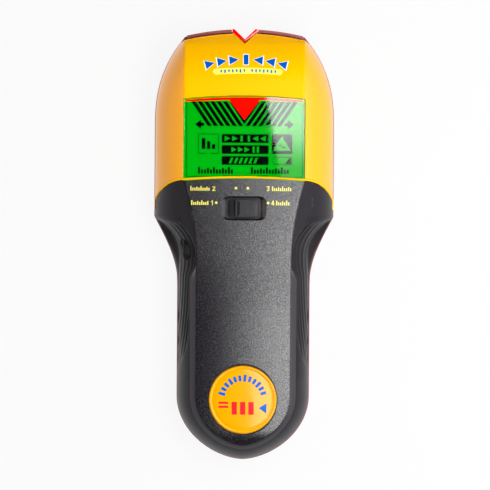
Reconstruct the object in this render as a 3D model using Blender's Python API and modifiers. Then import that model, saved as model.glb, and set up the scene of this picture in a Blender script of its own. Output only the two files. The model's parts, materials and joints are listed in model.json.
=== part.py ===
"""Hand-held stud finder, lying on its back: +Z up through the display, +Y towards the marking notch.

All sizes below are millimetres; MM turns them into Blender's metres.
The origin is under the middle of the bounding box, on the face that slides over the wall.
"""

import math

import bmesh
import bpy
from mathutils import Matrix, Vector

MM = 0.001
GAP = 0.3  # clearance between pieces that touch

# Outline of the case, seen from the front
LENGTH = 185.4
END_Y = LENGTH / 2
HEAD_HALF = 38.7
HANDLE_HALF = 28.6
SHOULDER_START_Y = 50.0
SHOULDER_PULL = 13.2
SHOULDER_POWER = 2.6
SHOULDER_LENGTH = 40.0
WAIST_TOP_Y = 12.0
WAIST_END_Y = -16.0
ROUND_START_Y = -65.0
ROUND_LENGTH = END_Y + ROUND_START_Y
ROUND_FULLNESS = 1.16
TOP_SAG = 3.1          # how far the curved top edge falls at its corners
TOP_HALF = 26.0
COVER_TOP_Y = 90.9     # middle of the cover's top edge
CASE_STEP = 0.25       # the rear housing stands this far outside the front shells

# Flat front face inside the crease
FACE_HALF_HANDLE = 20.8
FACE_HALF_HEAD = 26.1
FACE_FLARE_START_Y = -8.0
FACE_FLARE_END_Y = 26.5
FACE_END_LENGTH = 21.6
HEAD_TOP = 38.0
HANDLE_TOP = 32.8
SLOPE_LOW_Y = -40.0
SLOPE_HIGH_Y = 6.0
BROW_Y = 68.0          # the face starts to curve down towards the notch here
BROW_DROP = 12.0
BROW_POWER = 2.2
HEEL_Y = -78.0
HEEL_DROP = 2.2
CROWN_HANDLE = 1.2
CROWN_HEAD = 0.5
FLANK_ANGLE = math.radians(25.0)

# Thumb dishes on both flanks
DISH_START_Y = -6.0
DISH_LENGTH = 17.0
DISH_GROWTH = 9.5
DISH_POWER = 2.3
DISH_FADE = 7.0        # the dish runs out over this length above the waist's lower end
DISH_RIM_Z = 15.0
DISH_RIM_HEIGHT = 5.0

# Shells
WALL = 2.2
PARTING_Z = 10.0
FLOOR = 2.4
BUMPER_TOP_Z = 24.0
BUMPER_WALL = 1.3
BUMPER_INSET = 1.0     # the bumper's ends stay this far inside the top edge's corners
BACK_ROUND = 1.4
SKIN_OVER_POSTS = 1.0
ABOVE_ALL = 60.0       # cutters that pass right through end here
BEYOND_ALL = 120.0

# Seam between the head cover and the grip housing
SEAM_SIDE_Y = 14.6
SEAM_RADIUS = 12.8
SEAM_MIDDLE_Y = 28.4
SEAM_SAG = 1.1

# Window
WINDOW_HALF = 26.2
WINDOW_TOP_Y = 64.0
WINDOW_TOP_SAG = 1.4
WINDOW_THICKNESS = 1.6
WINDOW_FACE_Z = 37.6
SOFT_EDGE = 0.3

# Red light guide under the window's top edge, with its pointing triangle
GUIDE_INSET = 0.8
GUIDE_SIDE_Y = 61.2
GUIDE_MOUTH_Y = 62.0
GUIDE_MOUTH_HALF = 6.6
GUIDE_TIP_Y = 53.4
GUIDE_Z = 35.0
GUIDE_THICKNESS = 0.7

# Marking notch and its lens
NOTCH_HALF = 4.55
NOTCH_Y = 88.3
LENS_HALF = 5.4
LENS_DEPTH = 1.7
LENS_TOP_Z = 25.8

# Mode slot and knob
SLOT_Y = 15.5
SLOT_HALF_LENGTH = 7.7
SLOT_HALF_HEIGHT = 4.5
SLOT_BEVEL = 2.0
SLOT_BEVEL_SIDE = 0.5
SLOT_CORNER = 1.4
SLOT_MOUTH_CORNER = 2.8
KNOB_RIB_X = -3.4
KNOB_RIB_HALF = (0.35, 3.6)
KNOB_RIB_TOP_Z = HEAD_TOP - 0.5
KNOB_PAD = (6.6, 4.0, 2.2)   # half length, half width, corner
KNOB_PAD_X = -0.4
KNOB_PAD_Z = 35.2
KNOB_SKIRT_X = (-14.6, 11.2)
KNOB_SKIRT_HALF = 5.6
KNOB_SKIRT_DEPTH = (1.8, 0.6)
KNOB_STEM_X = (-6.0, 2.0)
KNOB_STEM_HALF = 2.5
CONTACT_MARGIN = (1.0, 0.5)
CONTACT_THICKNESS = 0.3
CONTACT_BASE_X = (-17.0, 14.0)
CONTACT_BASE_HALF = 5.0
CONTACT_BASE_THICKNESS = 0.4
STEM_CLEARANCE = 1.2

# Scan button in the left dish
BUTTON_Y = -2.2
BUTTON_Z = 26.2
BUTTON_HALF_LENGTH = 4.4
BUTTON_HALF_HEIGHT = 2.9
BUTTON_TRAVEL = 1.0
BUTTON_FRONT_X = -26.2
BUTTON_ROUND = 0.8
FLANGE_X = -20.5
FLANGE = (1.2, 5.4, 3.6)     # thickness, half length, half height
PLUNGER_RADIUS = 1.3
PLUNGER_LENGTH = 2.0
PLUNGER_DROP = 0.6
SWITCH_HALF = 3.0
SWITCH_DEPTH = 4.0
SWITCH_LOW_Z = 23.1
KEY_HOLE_X = (-45.0, -18.0)

# Badge in the heel of the grip
BADGE_Y = -66.7
BADGE_RADIUS = 14.6
BADGE_FLOOR_Z = 30.2
BADGE_HEIGHT = 1.7
BADGE_CROWN = 0.4
BADGE_RIM = 0.2
BADGE_RIM_WIDTH = 1.2
BADGE_SEAT_WIDTH = 1.6

# Battery bay
BATTERY_SIZE = (26.5, 48.5, 17.5)
BATTERY_TOP_Y = -20.0
BATTERY_Z = 3.7
STUD_X = 6.35
STUD_RADIUS = 2.9
STUD_HEIGHT = 2.4
SNAP_HALF = (12.5, 6.0)
SNAP_THICKNESS = 5.0
LEAD_RADIUS = 0.7
LEAD_X = 6.0
LEAD_RISE = 2.0
LEAD_END_Y = -6.0
LEAD_POINTS = 9
DOOR_HALF = 15.0
DOOR_TOP_Y = -14.0
DOOR_LOW_Y = -76.0     # the door turns about the outer edge of the opening here
DOOR_THICKNESS = 2.0
DOOR_GROOVES = 4
DOOR_GROOVE_PITCH = 1.6
DOOR_GROOVE_HALF = 8.0
DOOR_GROOVE_DEPTH = 0.5
DOOR_TAB_HALF = 4.0
DOOR_TAB_THICKNESS = 1.6
PAD_HALF = 10.0
PAD_Y = (-60.0, -30.0)

# Display stack: half width, low Y, high Y, low Z, high Z
LCD_FRAME = (25.7, 28.9, 62.0, 30.3, 34.7)
LCD_POCKET = (24.9, 31.6, 61.4, 29.0, 36.0)
LCD_GLASS = (24.6, 31.9, 61.1, 32.9, 34.6)
BACKLIGHT = (24.3, 32.2, 60.8, 30.5, 32.6)
ZEBRA_SLOT = (22.6, 29.6, 31.3, 29.0, 36.0)
ZEBRA_STRIP = (22.3, 29.9, 31.0, 30.3, 34.5)

# Boards: half of the symmetrical outline, from the bottom up
MAIN_BOARD_Z = 28.4
MAIN_BOARD_SIDE = [(17.4, -10.0), (17.4, 8.0), (24.0, 12.0), (24.0, 62.0)]
SENSOR_BOARD_Z = 3.2
SENSOR_BOARD_SIDE = [(25.8, 24.0), (25.8, 80.0), (21.8, 84.0)]
BOARD = 1.6

# Components: middle X and Y, then size or radius and height
MICROCONTROLLER = ((-8.0, 40.0), (10.0, 10.0, 1.6))
CRYSTAL = ((7.0, 40.0), (10.0, 4.0, 3.6))
AMPLIFIER = ((9.0, 76.5), (6.0, 5.0, 1.4))
HEADER = ((0.0, 26.3), (20.0, 2.6))
CAPACITOR = ((-18.0, 32.0), 3.0, 6.5)
BUZZER = ((8.0, 3.0), 5.5, 6.0)
COIL_Y = 54.0
COIL_RADII = (12.5, 16.5)
COIL_HEIGHT = 3.0
LED_Y = (78.5, 84.0)
LED_Z = 18.3
LED_RADII = (2.2, 1.4)
LED_HOLDER = (3.0, 78.0, 83.0)
LED_HOLDER_TOP_Z = 15.7

SCREW_PLACES = [(-30.5, 66.0), (30.5, 66.0), (-31.5, 15.0), (31.5, 15.0), (0.0, -83.5)]
SCREW_HEAD_RADIUS = 2.5
SCREW_RADIUS = 1.3
SCREW_LENGTH = 13.0
SCREW_HEAD_HEIGHT = 2.0
SCREW_SUNK = 0.6
SCREW_CROSS = (0.3, 1.5)
BOSS_RADIUS = 3.3
TURNED_STEPS = 40


for scene_object in list(bpy.data.objects):
    bpy.data.objects.remove(scene_object, do_unlink=True)

PARTS = bpy.data.collections.new("stud_finder")
CUTTERS = bpy.data.collections.new("cutters")
bpy.context.scene.collection.children.link(PARTS)
bpy.context.scene.collection.children.link(CUTTERS)


# ---------------------------------------------------------------- materials

def plastic(name, colour, roughness, metallic=0.0):
    material = bpy.data.materials.new(name)
    material.use_nodes = True
    shader = material.node_tree.nodes["Principled BSDF"]
    shader.inputs["Base Color"].default_value = (*colour, 1.0)
    shader.inputs["Roughness"].default_value = roughness
    shader.inputs["Metallic"].default_value = metallic
    material.diffuse_color = (*colour, 1.0)
    return material


MAROON = plastic("maroon_shell", (0.22, 0.012, 0.015), 0.35)
YELLOW = plastic("yellow_shell", (1.0, 0.60, 0.0), 0.30)
CHARCOAL = plastic("charcoal_grip", (0.035, 0.033, 0.037), 0.55)
RED_LENS = plastic("red_lens", (0.8, 0.01, 0.01), 0.12)
CLEAR = plastic("clear_window", (0.9, 0.95, 0.92), 0.05)
LCD_GREEN = plastic("lcd_glass", (0.02, 0.55, 0.04), 0.15)
WHITE = plastic("white_plastic", (0.85, 0.85, 0.83), 0.45)
BLACK = plastic("black_plastic", (0.02, 0.02, 0.02), 0.45)
BOARD_GREEN = plastic("circuit_board", (0.02, 0.20, 0.07), 0.45)
COPPER = plastic("copper", (0.75, 0.36, 0.18), 0.35, 1.0)
STEEL = plastic("steel", (0.60, 0.60, 0.62), 0.30, 1.0)
RUBBER = plastic("rubber", (0.10, 0.10, 0.10), 0.80)
FOAM = plastic("foam", (0.16, 0.16, 0.17), 0.95)
CELL = plastic("battery_case", (0.10, 0.11, 0.13), 0.30, 0.6)
BADGE_YELLOW = plastic("badge_yellow", (1.0, 0.62, 0.0), 0.18)
RED_WIRE = plastic("red_wire", (0.60, 0.02, 0.02), 0.45)
BLACK_WIRE = plastic("black_wire", (0.02, 0.02, 0.02), 0.45)


# ---------------------------------------------------------------- building blocks

def add_object(name, mesh, material=None, smooth_angle=None):
    """A part when it has a material, a hidden cutter when it has none."""
    made = bpy.data.objects.new(name, mesh)
    if material is None:
        CUTTERS.objects.link(made)
        made.hide_render = True
        made.display_type = "WIRE"
    else:
        PARTS.objects.link(made)
        mesh.materials.append(material)
    if smooth_angle is not None:
        mesh.shade_smooth()
        mesh.set_sharp_from_angle(angle=math.radians(smooth_angle))
    return made


def box(name, low, high, material=None, bevel=0.0):
    """Box between two corners, with its origin at its middle."""
    form = bmesh.new()
    bmesh.ops.create_cube(form, size=1.0)
    size = [(high[i] - low[i]) * MM for i in range(3)]
    bmesh.ops.scale(form, vec=Vector(size), verts=form.verts)
    if bevel > 0.0:
        bmesh.ops.bevel(form, geom=form.edges[:], offset=bevel * MM, segments=1, affect="EDGES")
    mesh = bpy.data.meshes.new(name)
    form.to_mesh(mesh)
    form.free()
    made = add_object(name, mesh, material)
    made.location = [(high[i] + low[i]) / 2 * MM for i in range(3)]
    return made


def rod(name, radius, start, end, material=None, segments=24, end_radius=None):
    """Cylinder or cone from one point to another, with its origin at its middle."""
    start = Vector(start) * MM
    end = Vector(end) * MM
    axis = end - start
    form = bmesh.new()
    bmesh.ops.create_cone(form, cap_ends=True, segments=segments, radius1=radius * MM,
                          radius2=(radius if end_radius is None else end_radius) * MM,
                          depth=axis.length)
    mesh = bpy.data.meshes.new(name)
    turn = Vector((0, 0, 1)).rotation_difference(axis).to_matrix()
    bmesh.ops.rotate(form, matrix=turn, verts=form.verts)
    form.to_mesh(mesh)
    form.free()
    made = add_object(name, mesh, material, 40)
    made.location = (start + end) / 2
    return made


def plate(name, outline, low_z, high_z, material=None, smooth_angle=None):
    """Flat outline with a thickness, from a filled 2D curve made into a welded mesh."""
    curve = bpy.data.curves.new(name, "CURVE")
    curve.dimensions = "2D"
    curve.fill_mode = "BOTH"
    curve.extrude = (high_z - low_z) / 2 * MM
    spline = curve.splines.new("POLY")
    spline.points.add(len(outline) - 1)
    for point, (x, y) in zip(spline.points, outline):
        point.co = (x * MM, y * MM, 0.0, 1.0)
    spline.use_cyclic_u = True
    guide = bpy.data.objects.new(name + "_outline", curve)
    guide.location = (0.0, 0.0, (low_z + high_z) / 2 * MM)
    CUTTERS.objects.link(guide)
    bpy.context.view_layer.update()
    evaluated = guide.evaluated_get(bpy.context.evaluated_depsgraph_get())
    mesh = bpy.data.meshes.new_from_object(evaluated)
    form = bmesh.new()
    form.from_mesh(mesh)
    bmesh.ops.remove_doubles(form, verts=form.verts, dist=0.000001)
    bmesh.ops.recalc_face_normals(form, faces=form.faces)
    form.to_mesh(mesh)
    form.free()
    made = add_object(name, mesh, material, smooth_angle)
    made.matrix_world = guide.matrix_world.copy()
    bpy.data.objects.remove(guide, do_unlink=True)
    return made


def centred_box(name, form, material=None, bevel=0.0):
    """Box that is symmetrical about X = 0, from half width, low and high Y, low and high Z."""
    half, low_y, high_y, low_z, high_z = form
    return box(name, (-half, low_y, low_z), (half, high_y, high_z), material, bevel)


def turned(name, profile, material, steps, place=(0.0, 0.0, 0.0)):
    """Piece turned about Z by a Screw modifier from an open or closed profile at +X."""
    form = bmesh.new()
    verts = [form.verts.new((radius * MM, 0.0, height * MM)) for radius, height in profile]
    for start, end in zip(verts, verts[1:]):
        form.edges.new((start, end))
    if profile[-1][0] > 0.0:
        form.edges.new((verts[-1], verts[0]))
    mesh = bpy.data.meshes.new(name)
    form.to_mesh(mesh)
    form.free()
    made = add_object(name, mesh, material)
    made.location = Vector(place) * MM
    turn = made.modifiers.new("turned", "SCREW")
    turn.steps = steps
    turn.render_steps = steps
    turn.use_merge_vertices = True
    turn.merge_threshold = 0.00001
    return made


def soften(target, width, segments, angle):
    edge = target.modifiers.new("soft_edge", "BEVEL")
    edge.width = width * MM
    edge.segments = segments
    edge.limit_method = "ANGLE"
    edge.angle_limit = math.radians(angle)


def combine(target, tool, operation="DIFFERENCE"):
    step = target.modifiers.new(operation.lower() + "_" + tool.name, "BOOLEAN")
    step.operation = operation
    step.object = tool
    step.solver = "EXACT"
    return target


def rounded_rectangle(half_x, half_y, radius, middle=(0.0, 0.0), steps=5):
    points = []
    for corner, (side_x, side_y) in enumerate([(1, 1), (-1, 1), (-1, -1), (1, -1)]):
        for step in range(steps + 1):
            angle = math.radians(90.0 * (corner + step / steps))
            points.append((middle[0] + side_x * (half_x - radius) + radius * math.cos(angle),
                           middle[1] + side_y * (half_y - radius) + radius * math.sin(angle)))
    return points


# ---------------------------------------------------------------- form of the case

def ease(value):
    value = min(max(value, 0.0), 1.0)
    return value * value * (3.0 - 2.0 * value)


def half_width(y):
    """Half of the outline's width above the round heel."""
    if y > SHOULDER_START_Y:
        along = (y - SHOULDER_START_Y) / SHOULDER_LENGTH
        return HEAD_HALF - SHOULDER_PULL * along ** SHOULDER_POWER
    if y > WAIST_TOP_Y:
        return HEAD_HALF
    if y > WAIST_END_Y:
        along = (y - WAIST_END_Y) / (WAIST_TOP_Y - WAIST_END_Y)
        return HANDLE_HALF + (HEAD_HALF - HANDLE_HALF) * (1.5 * along ** 2 - 0.5 * along ** 3)
    return HANDLE_HALF


def face_half_width(y):
    """Half of the distance between the two crease lines."""
    along = (y - FACE_FLARE_START_Y) / (FACE_FLARE_END_Y - FACE_FLARE_START_Y)
    flare = (FACE_HALF_HEAD - FACE_HALF_HANDLE) * min(max(along, 0.0), 1.0) ** 2
    return FACE_HALF_HANDLE + flare


def face_height(x, y):
    """Height of the front face, with its slope from head to handle and its slight crown."""
    rise = ease((y - SLOPE_LOW_Y) / (SLOPE_HIGH_Y - SLOPE_LOW_Y))
    middle = HANDLE_TOP + (HEAD_TOP - HANDLE_TOP) * rise
    if y > BROW_Y:
        middle -= BROW_DROP * ((y - BROW_Y) / (COVER_TOP_Y - BROW_Y)) ** BROW_POWER
    if y < HEEL_Y:
        middle -= HEEL_DROP * ((HEEL_Y - y) / (HEEL_Y - ROUND_START_Y + FACE_END_LENGTH)) ** 2
    crown = CROWN_HANDLE + (CROWN_HEAD - CROWN_HANDLE) * rise
    return middle - crown * (x / face_half_width(y)) ** 2


def top_edge(x, middle_y):
    return middle_y - TOP_SAG * (x / TOP_HALF) ** 2


def flank_fraction(height):
    """How far out a flank is at a height from 0, the parting plane, to 1, the crease."""
    angle = math.acos(height * math.cos(FLANK_ANGLE))
    return (math.sin(angle) - math.sin(FLANK_ANGLE)) / (1.0 - math.sin(FLANK_ANGLE))


def dish_half_width(y, z):
    """Half of the width inside the thumb dishes, which carry the handle's flanks up to the head."""
    height = min(max((z - PARTING_Z) / (HANDLE_TOP - PARTING_Z), 0.0), 1.0)
    half = FACE_HALF_HANDLE + (HANDLE_HALF - FACE_HALF_HANDLE) * flank_fraction(height)
    growth = DISH_GROWTH * (max(y - DISH_START_Y, 0.0) / DISH_LENGTH) ** DISH_POWER
    rim = (half_width(y) - HANDLE_HALF) * ease((DISH_RIM_Z - z) / DISH_RIM_HEIGHT)
    return half + growth + rim


def case_stations(side_steps, round_steps, top_steps):
    """Pairs of outline and crease points up the right side, and the columns of the top edge."""
    pairs = []
    for step in range(round_steps):
        angle = math.radians(90.0) * step / round_steps
        reach = math.sin(angle) ** ROUND_FULLNESS
        outer = (HANDLE_HALF * reach, ROUND_START_Y - ROUND_LENGTH * math.cos(angle))
        inner = (FACE_HALF_HANDLE * reach, ROUND_START_Y - FACE_END_LENGTH * math.cos(angle))
        pairs.append((outer, inner))
    stretches = [(ROUND_START_Y, WAIST_END_Y, 5), (WAIST_END_Y, WAIST_TOP_Y, 8),
                 (WAIST_TOP_Y, SHOULDER_START_Y, 4), (SHOULDER_START_Y, COVER_TOP_Y, 9)]
    for start, end, share in stretches:
        count = max(1, round(share * side_steps))
        for step in range(count):
            station = start + (end - start) * step / count
            y = station - TOP_SAG * ease((station - BROW_Y) / (COVER_TOP_Y - BROW_Y))
            pairs.append(((half_width(y), y), (face_half_width(y), y)))
    columns = [1.0 - 2.0 * step / top_steps for step in range(top_steps + 1)]
    return pairs, columns


def case_form(name, inset, base_z, material=None, side_steps=1.0, round_steps=7, top_steps=8,
              levels=6, smooth_angle=None):
    """Closed loft of the front half of the case, made smaller all round by an inset."""
    pairs, columns = case_stations(side_steps, round_steps, top_steps)
    heights = [1.0 - (step / levels) for step in range(levels + 1)]
    top_y = COVER_TOP_Y - inset

    def flank_point(outer, inner, height, side):
        crease_z = face_height(*inner) - inset
        z = PARTING_Z + (crease_z - PARTING_Z) * height
        fraction = flank_fraction(height)
        x = inner[0] + (outer[0] - inner[0]) * fraction
        y = inner[1] + (outer[1] - inner[1]) * fraction
        if WAIST_END_Y < y < WAIST_TOP_Y:
            cut = min(x, dish_half_width(y, z) - inset - CASE_STEP)
            x += (cut - x) * ease((y - WAIST_END_Y) / DISH_FADE)
        return (side * x, y, z)

    def shrink(point):
        """Pull a plan point in by the inset, from the heel's centre or from the flank."""
        x, y = point
        pull = inset + CASE_STEP
        if y < ROUND_START_Y:
            radius = math.hypot(x, y - ROUND_START_Y)
            scale = (radius - pull) / radius
            return (x * scale, ROUND_START_Y + (y - ROUND_START_Y) * scale)
        return (x - pull, min(y, top_edge(x, top_y)))

    form = bmesh.new()
    sides = [(shrink(outer), shrink(inner)) for outer, inner in pairs]
    corner_x = shrink((face_half_width(top_y), ROUND_START_Y + 1.0))[0]
    corner = (corner_x, top_edge(corner_x, top_y))
    edge = [(corner_x * column, top_edge(corner_x * column, top_y)) for column in columns]
    right = [pair for pair in sides if pair[1][1] < corner[1] - 1.0]
    rings = []
    for height in heights:
        ring = [flank_point(outer, inner, height, 1.0) for outer, inner in right]
        for point in edge:
            low_y = point[1] + 0.1 * (1.0 - height)
            z = PARTING_Z + (face_height(*point) - inset - PARTING_Z) * height
            ring.append((point[0] * (1.0 + 0.02 * (1.0 - height)), low_y, z))
        ring += [flank_point(outer, inner, height, -1.0) for outer, inner in reversed(right[1:])]
        rings.append([form.verts.new(Vector(point) * MM) for point in ring])
    if base_z < PARTING_Z:
        rings.append([form.verts.new((v.co.x, v.co.y, base_z * MM)) for v in rings[-1]])
    count = len(rings[0])
    for upper, lower in zip(rings, rings[1:]):
        for index in range(count):
            after = (index + 1) % count
            form.faces.new((upper[index], lower[index], lower[after], upper[after]))
    form.faces.new(list(reversed(rings[-1])))

    face = rings[0]
    side_count = len(right)
    rows = []
    for index in range(1, side_count):
        first = face[index]
        last = face[count - index]
        row = [first]
        for column in columns[1:-1]:
            x = first.co.x * column
            z = (face_height(x / MM, first.co.y / MM) - inset) * MM
            row.append(form.verts.new((x, first.co.y, z)))
        row.append(last)
        rows.append(row)
    rows.append(face[side_count:side_count + top_steps + 1])
    for step in range(top_steps):
        form.faces.new((face[0], rows[0][step], rows[0][step + 1]))
        for near, far in zip(rows, rows[1:]):
            form.faces.new((near[step], far[step], far[step + 1], near[step + 1]))
    bmesh.ops.recalc_face_normals(form, faces=form.faces)
    mesh = bpy.data.meshes.new(name)
    form.to_mesh(mesh)
    form.free()
    return add_object(name, mesh, material, smooth_angle)


def case_outline(inset, side_steps=1.0, round_steps=9, top_steps=10):
    """Closed outline of the rear housing, made smaller all round by an inset."""
    points = []
    for step in range(round_steps):
        angle = math.radians(90.0) * step / round_steps
        points.append(((HANDLE_HALF - inset) * math.sin(angle) ** ROUND_FULLNESS,
                       ROUND_START_Y - (ROUND_LENGTH - inset) * math.cos(angle)))
    stations = [(ROUND_START_Y, 1), (WAIST_END_Y, 8), (WAIST_TOP_Y, 1), (SHOULDER_START_Y, 9)]
    corner_y = top_edge(TOP_HALF, END_Y)
    ends = [start for start, share in stations[1:]] + [corner_y]
    for (start, share), end in zip(stations, ends):
        count = max(1, round(share * side_steps))
        for step in range(count):
            y = start + (end - start) * step / count
            if y < corner_y - inset - 0.8:
                points.append((half_width(y) - inset, y))
    corner_x = half_width(corner_y) - inset
    for step in range(top_steps + 1):
        x = corner_x * (1.0 - 2.0 * step / top_steps)
        points.append((x, top_edge(x, END_Y - inset)))
    right = [point for point in points[:-top_steps - 1] if point[0] > 0.01]
    points += [(-x, y) for x, y in reversed(right)]
    return points


def seam_line(shift):
    """The curved seam from the right edge to the left, moved along Y by a shift."""
    points = [(60.0, SEAM_SIDE_Y + shift)]
    for step in range(9):
        angle = math.radians(90.0) * step / 8
        points.append((FACE_HALF_HEAD + SEAM_RADIUS * math.cos(angle),
                       SEAM_SIDE_Y + SEAM_RADIUS * math.sin(angle) + shift))
    for step in range(1, 4):
        x = FACE_HALF_HEAD * (1.0 - step / 4)
        points.append((x, SEAM_MIDDLE_Y - SEAM_SAG * (x / FACE_HALF_HEAD) ** 2 + shift))
    middle = [(0.0, SEAM_MIDDLE_Y + shift)]
    return points + middle + [(-x, y) for x, y in reversed(points)]


def notch_outline(grow):
    """The V of the notch lens with its two short arms, opened upwards for use as a cutter."""
    low = NOTCH_Y - LENS_DEPTH - grow
    arm = LENS_HALF + grow
    slope = (top_edge(NOTCH_HALF, END_Y) - NOTCH_Y) / NOTCH_HALF
    return [(-arm, END_Y + 5.0), (-arm, low + slope * arm), (0.0, low), (arm, low + slope * arm),
            (arm, END_Y + 5.0)]


# ---------------------------------------------------------------- shells

def screw_bosses():
    """Posts inside the front shells that the screws bite into, kept under the skin."""
    under_skin = case_form("under_skin", SKIN_OVER_POSTS, PARTING_Z - 1.0, levels=5)
    posts = []
    for number, (x, y) in enumerate(SCREW_PLACES):
        post = rod(f"front_post_{number}", BOSS_RADIUS, (x, y, PARTING_Z), (x, y, ABOVE_ALL))
        combine(post, under_skin, "INTERSECT")
        bore = rod(f"front_bore_{number}", SCREW_RADIUS + GAP, (x, y, PARTING_Z - 1.0),
                   (x, y, SCREW_LENGTH + 4.0), segments=16)
        posts.append((y > SEAM_MIDDLE_Y, post, bore))
    return posts


def front_shell(name, material):
    """The whole front skin, hollowed, before it is split along the seam."""
    shell = case_form(name, 0.0, PARTING_Z, material, smooth_angle=28)
    hollow = case_form(name + "_hollow", WALL, PARTING_Z - 2.0, levels=5)
    combine(shell, hollow)
    return shell


def make_head_cover(posts, notch):
    cover = front_shell("head_cover", YELLOW)
    opening = window_outline(0.0, 15.0)
    combine(cover, plate("window_opening", opening, PARTING_Z + 12.0, ABOVE_ALL))
    combine(cover, notch)
    below = seam_line(GAP / 2) + [(-ABOVE_ALL, -BEYOND_ALL), (ABOVE_ALL, -BEYOND_ALL)]
    combine(cover, plate("head_cover_seam", below, 0.0, ABOVE_ALL))
    for is_head, post, bore in posts:
        if is_head:
            combine(cover, post, "UNION")
            combine(cover, bore)
    return cover


def make_grip_housing(posts):
    grip = front_shell("grip_housing", CHARCOAL)
    above = seam_line(-GAP / 2) + [(-ABOVE_ALL, BEYOND_ALL), (ABOVE_ALL, BEYOND_ALL)]
    combine(grip, plate("grip_seam", above, 0.0, ABOVE_ALL))
    for is_head, post, bore in posts:
        if not is_head:
            combine(grip, post, "UNION")
            combine(grip, bore)
    slot = rounded_rectangle(SLOT_HALF_LENGTH, SLOT_HALF_HEIGHT, SLOT_CORNER, (0.0, SLOT_Y))
    combine(grip, plate("mode_slot", slot, BADGE_FLOOR_Z, ABOVE_ALL))
    combine(grip, slot_bevel())
    combine(grip, key_form("scan_button_hole", GAP, *KEY_HOLE_X))
    recess = rod("badge_recess", BADGE_RADIUS + GAP, (0.0, BADGE_Y, BADGE_FLOOR_Z),
                 (0.0, BADGE_Y, ABOVE_ALL), segments=48)
    seat = rod("badge_seat", BADGE_RADIUS + BADGE_SEAT_WIDTH, (0.0, BADGE_Y, BADGE_FLOOR_Z - 2.0),
               (0.0, BADGE_Y, BADGE_FLOOR_Z + 1.0), segments=48)
    combine(grip, seat, "UNION")
    combine(grip, recess)
    return grip


def slot_bevel():
    """Tapered mouth of the mode slot, widest at the surface."""
    lower_z = HEAD_TOP - 1.6
    upper_z = HEAD_TOP + 0.4
    form = bmesh.new()
    rings = []
    for z, side, end, corner in [(lower_z, 0.0, 0.0, SLOT_CORNER),
                                 (upper_z, SLOT_BEVEL_SIDE, SLOT_BEVEL, SLOT_MOUTH_CORNER)]:
        outline = rounded_rectangle(SLOT_HALF_LENGTH + end, SLOT_HALF_HEIGHT + side, corner,
                                    (0.0, SLOT_Y))
        rings.append([form.verts.new((x * MM, y * MM, z * MM)) for x, y in outline])
    lower, upper = rings
    for index in range(len(lower)):
        after = (index + 1) % len(lower)
        form.faces.new((lower[index], lower[after], upper[after], upper[index]))
    form.faces.new(list(reversed(lower)))
    form.faces.new(upper)
    mesh = bpy.data.meshes.new("slot_bevel")
    form.to_mesh(mesh)
    form.free()
    return add_object("slot_bevel", mesh)


def make_rear_housing(notch):
    """Tray with its bumper at the notch end, screw posts and battery opening."""
    rear = plate("rear_housing", case_outline(0.0), 0.0, PARTING_Z - GAP, MAROON, 28)
    soften(rear, BACK_ROUND, 2, 60.0)
    combine(rear, plate("rear_hollow", case_outline(WALL), FLOOR, ABOVE_ALL))
    columns = [1.0 - 2.0 * step / 10 for step in range(11)]
    half = TOP_HALF - BUMPER_INSET
    outer = [(half * c, top_edge(half * c, END_Y)) for c in columns]
    inner = [(x, y - BUMPER_WALL) for x, y in reversed(outer)]
    combine(rear, plate("bumper", outer + inner, FLOOR + 1.0, BUMPER_TOP_Z), "UNION")
    for number, (x, y) in enumerate(SCREW_PLACES):
        post = rod(f"rear_post_{number}", BOSS_RADIUS, (x, y, 1.0), (x, y, PARTING_Z - GAP))
        combine(rear, post, "UNION")
    for number, (x, y) in enumerate(SCREW_PLACES):
        bore = rod(f"rear_bore_{number}", SCREW_RADIUS + GAP, (x, y, -1.0), (x, y, PARTING_Z * 2),
                   segments=16)
        sink = rod(f"rear_sink_{number}", SCREW_HEAD_RADIUS + GAP, (x, y, -1.0), (x, y, 3.0))
        combine(rear, bore)
        combine(rear, sink)
    combine(rear, box("door_opening", (-DOOR_HALF, DOOR_LOW_Y, -1.0), (DOOR_HALF, DOOR_TOP_Y, 5.0)))
    combine(rear, notch)
    return rear


# ---------------------------------------------------------------- window and notch

def window_outline(grow, low_y):
    """Window with an arched top edge, from a low edge that the caller trims or shapes."""
    half = WINDOW_HALF + grow
    points = [(-half, low_y), (half, low_y)]
    for step in range(9):
        x = half * (1.0 - step / 4)
        points.append((x, WINDOW_TOP_Y + grow - WINDOW_TOP_SAG * (x / WINDOW_HALF) ** 2))
    return points


def make_window():
    half = WINDOW_HALF - GAP
    lower = []
    for step in range(9):
        x = half * (step / 4 - 1.0)
        lower.append((x, SEAM_MIDDLE_Y + GAP - SEAM_SAG * (x / FACE_HALF_HEAD) ** 2))
    upper = window_outline(-GAP, 0.0)[2:]
    window = plate("display_window", lower + upper, WINDOW_FACE_Z - WINDOW_THICKNESS, WINDOW_FACE_Z,
                   CLEAR)
    soften(window, SOFT_EDGE, 1, 50.0)
    return window


def make_pointer_guide():
    """Red light guide under the window's top edge, with the triangle that points at the stud."""
    half = WINDOW_HALF - GUIDE_INSET
    upper = []
    for step in range(9):
        x = half * (1.0 - step / 4)
        upper.append((x, WINDOW_TOP_Y - GUIDE_INSET - WINDOW_TOP_SAG * (x / WINDOW_HALF) ** 2))
    lower = [(-half, GUIDE_SIDE_Y), (-GUIDE_MOUTH_HALF, GUIDE_MOUTH_Y), (0.0, GUIDE_TIP_Y),
             (GUIDE_MOUTH_HALF, GUIDE_MOUTH_Y), (half, GUIDE_SIDE_Y)]
    return plate("pointer_guide", upper + lower, GUIDE_Z, GUIDE_Z + GUIDE_THICKNESS, RED_LENS)


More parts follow.
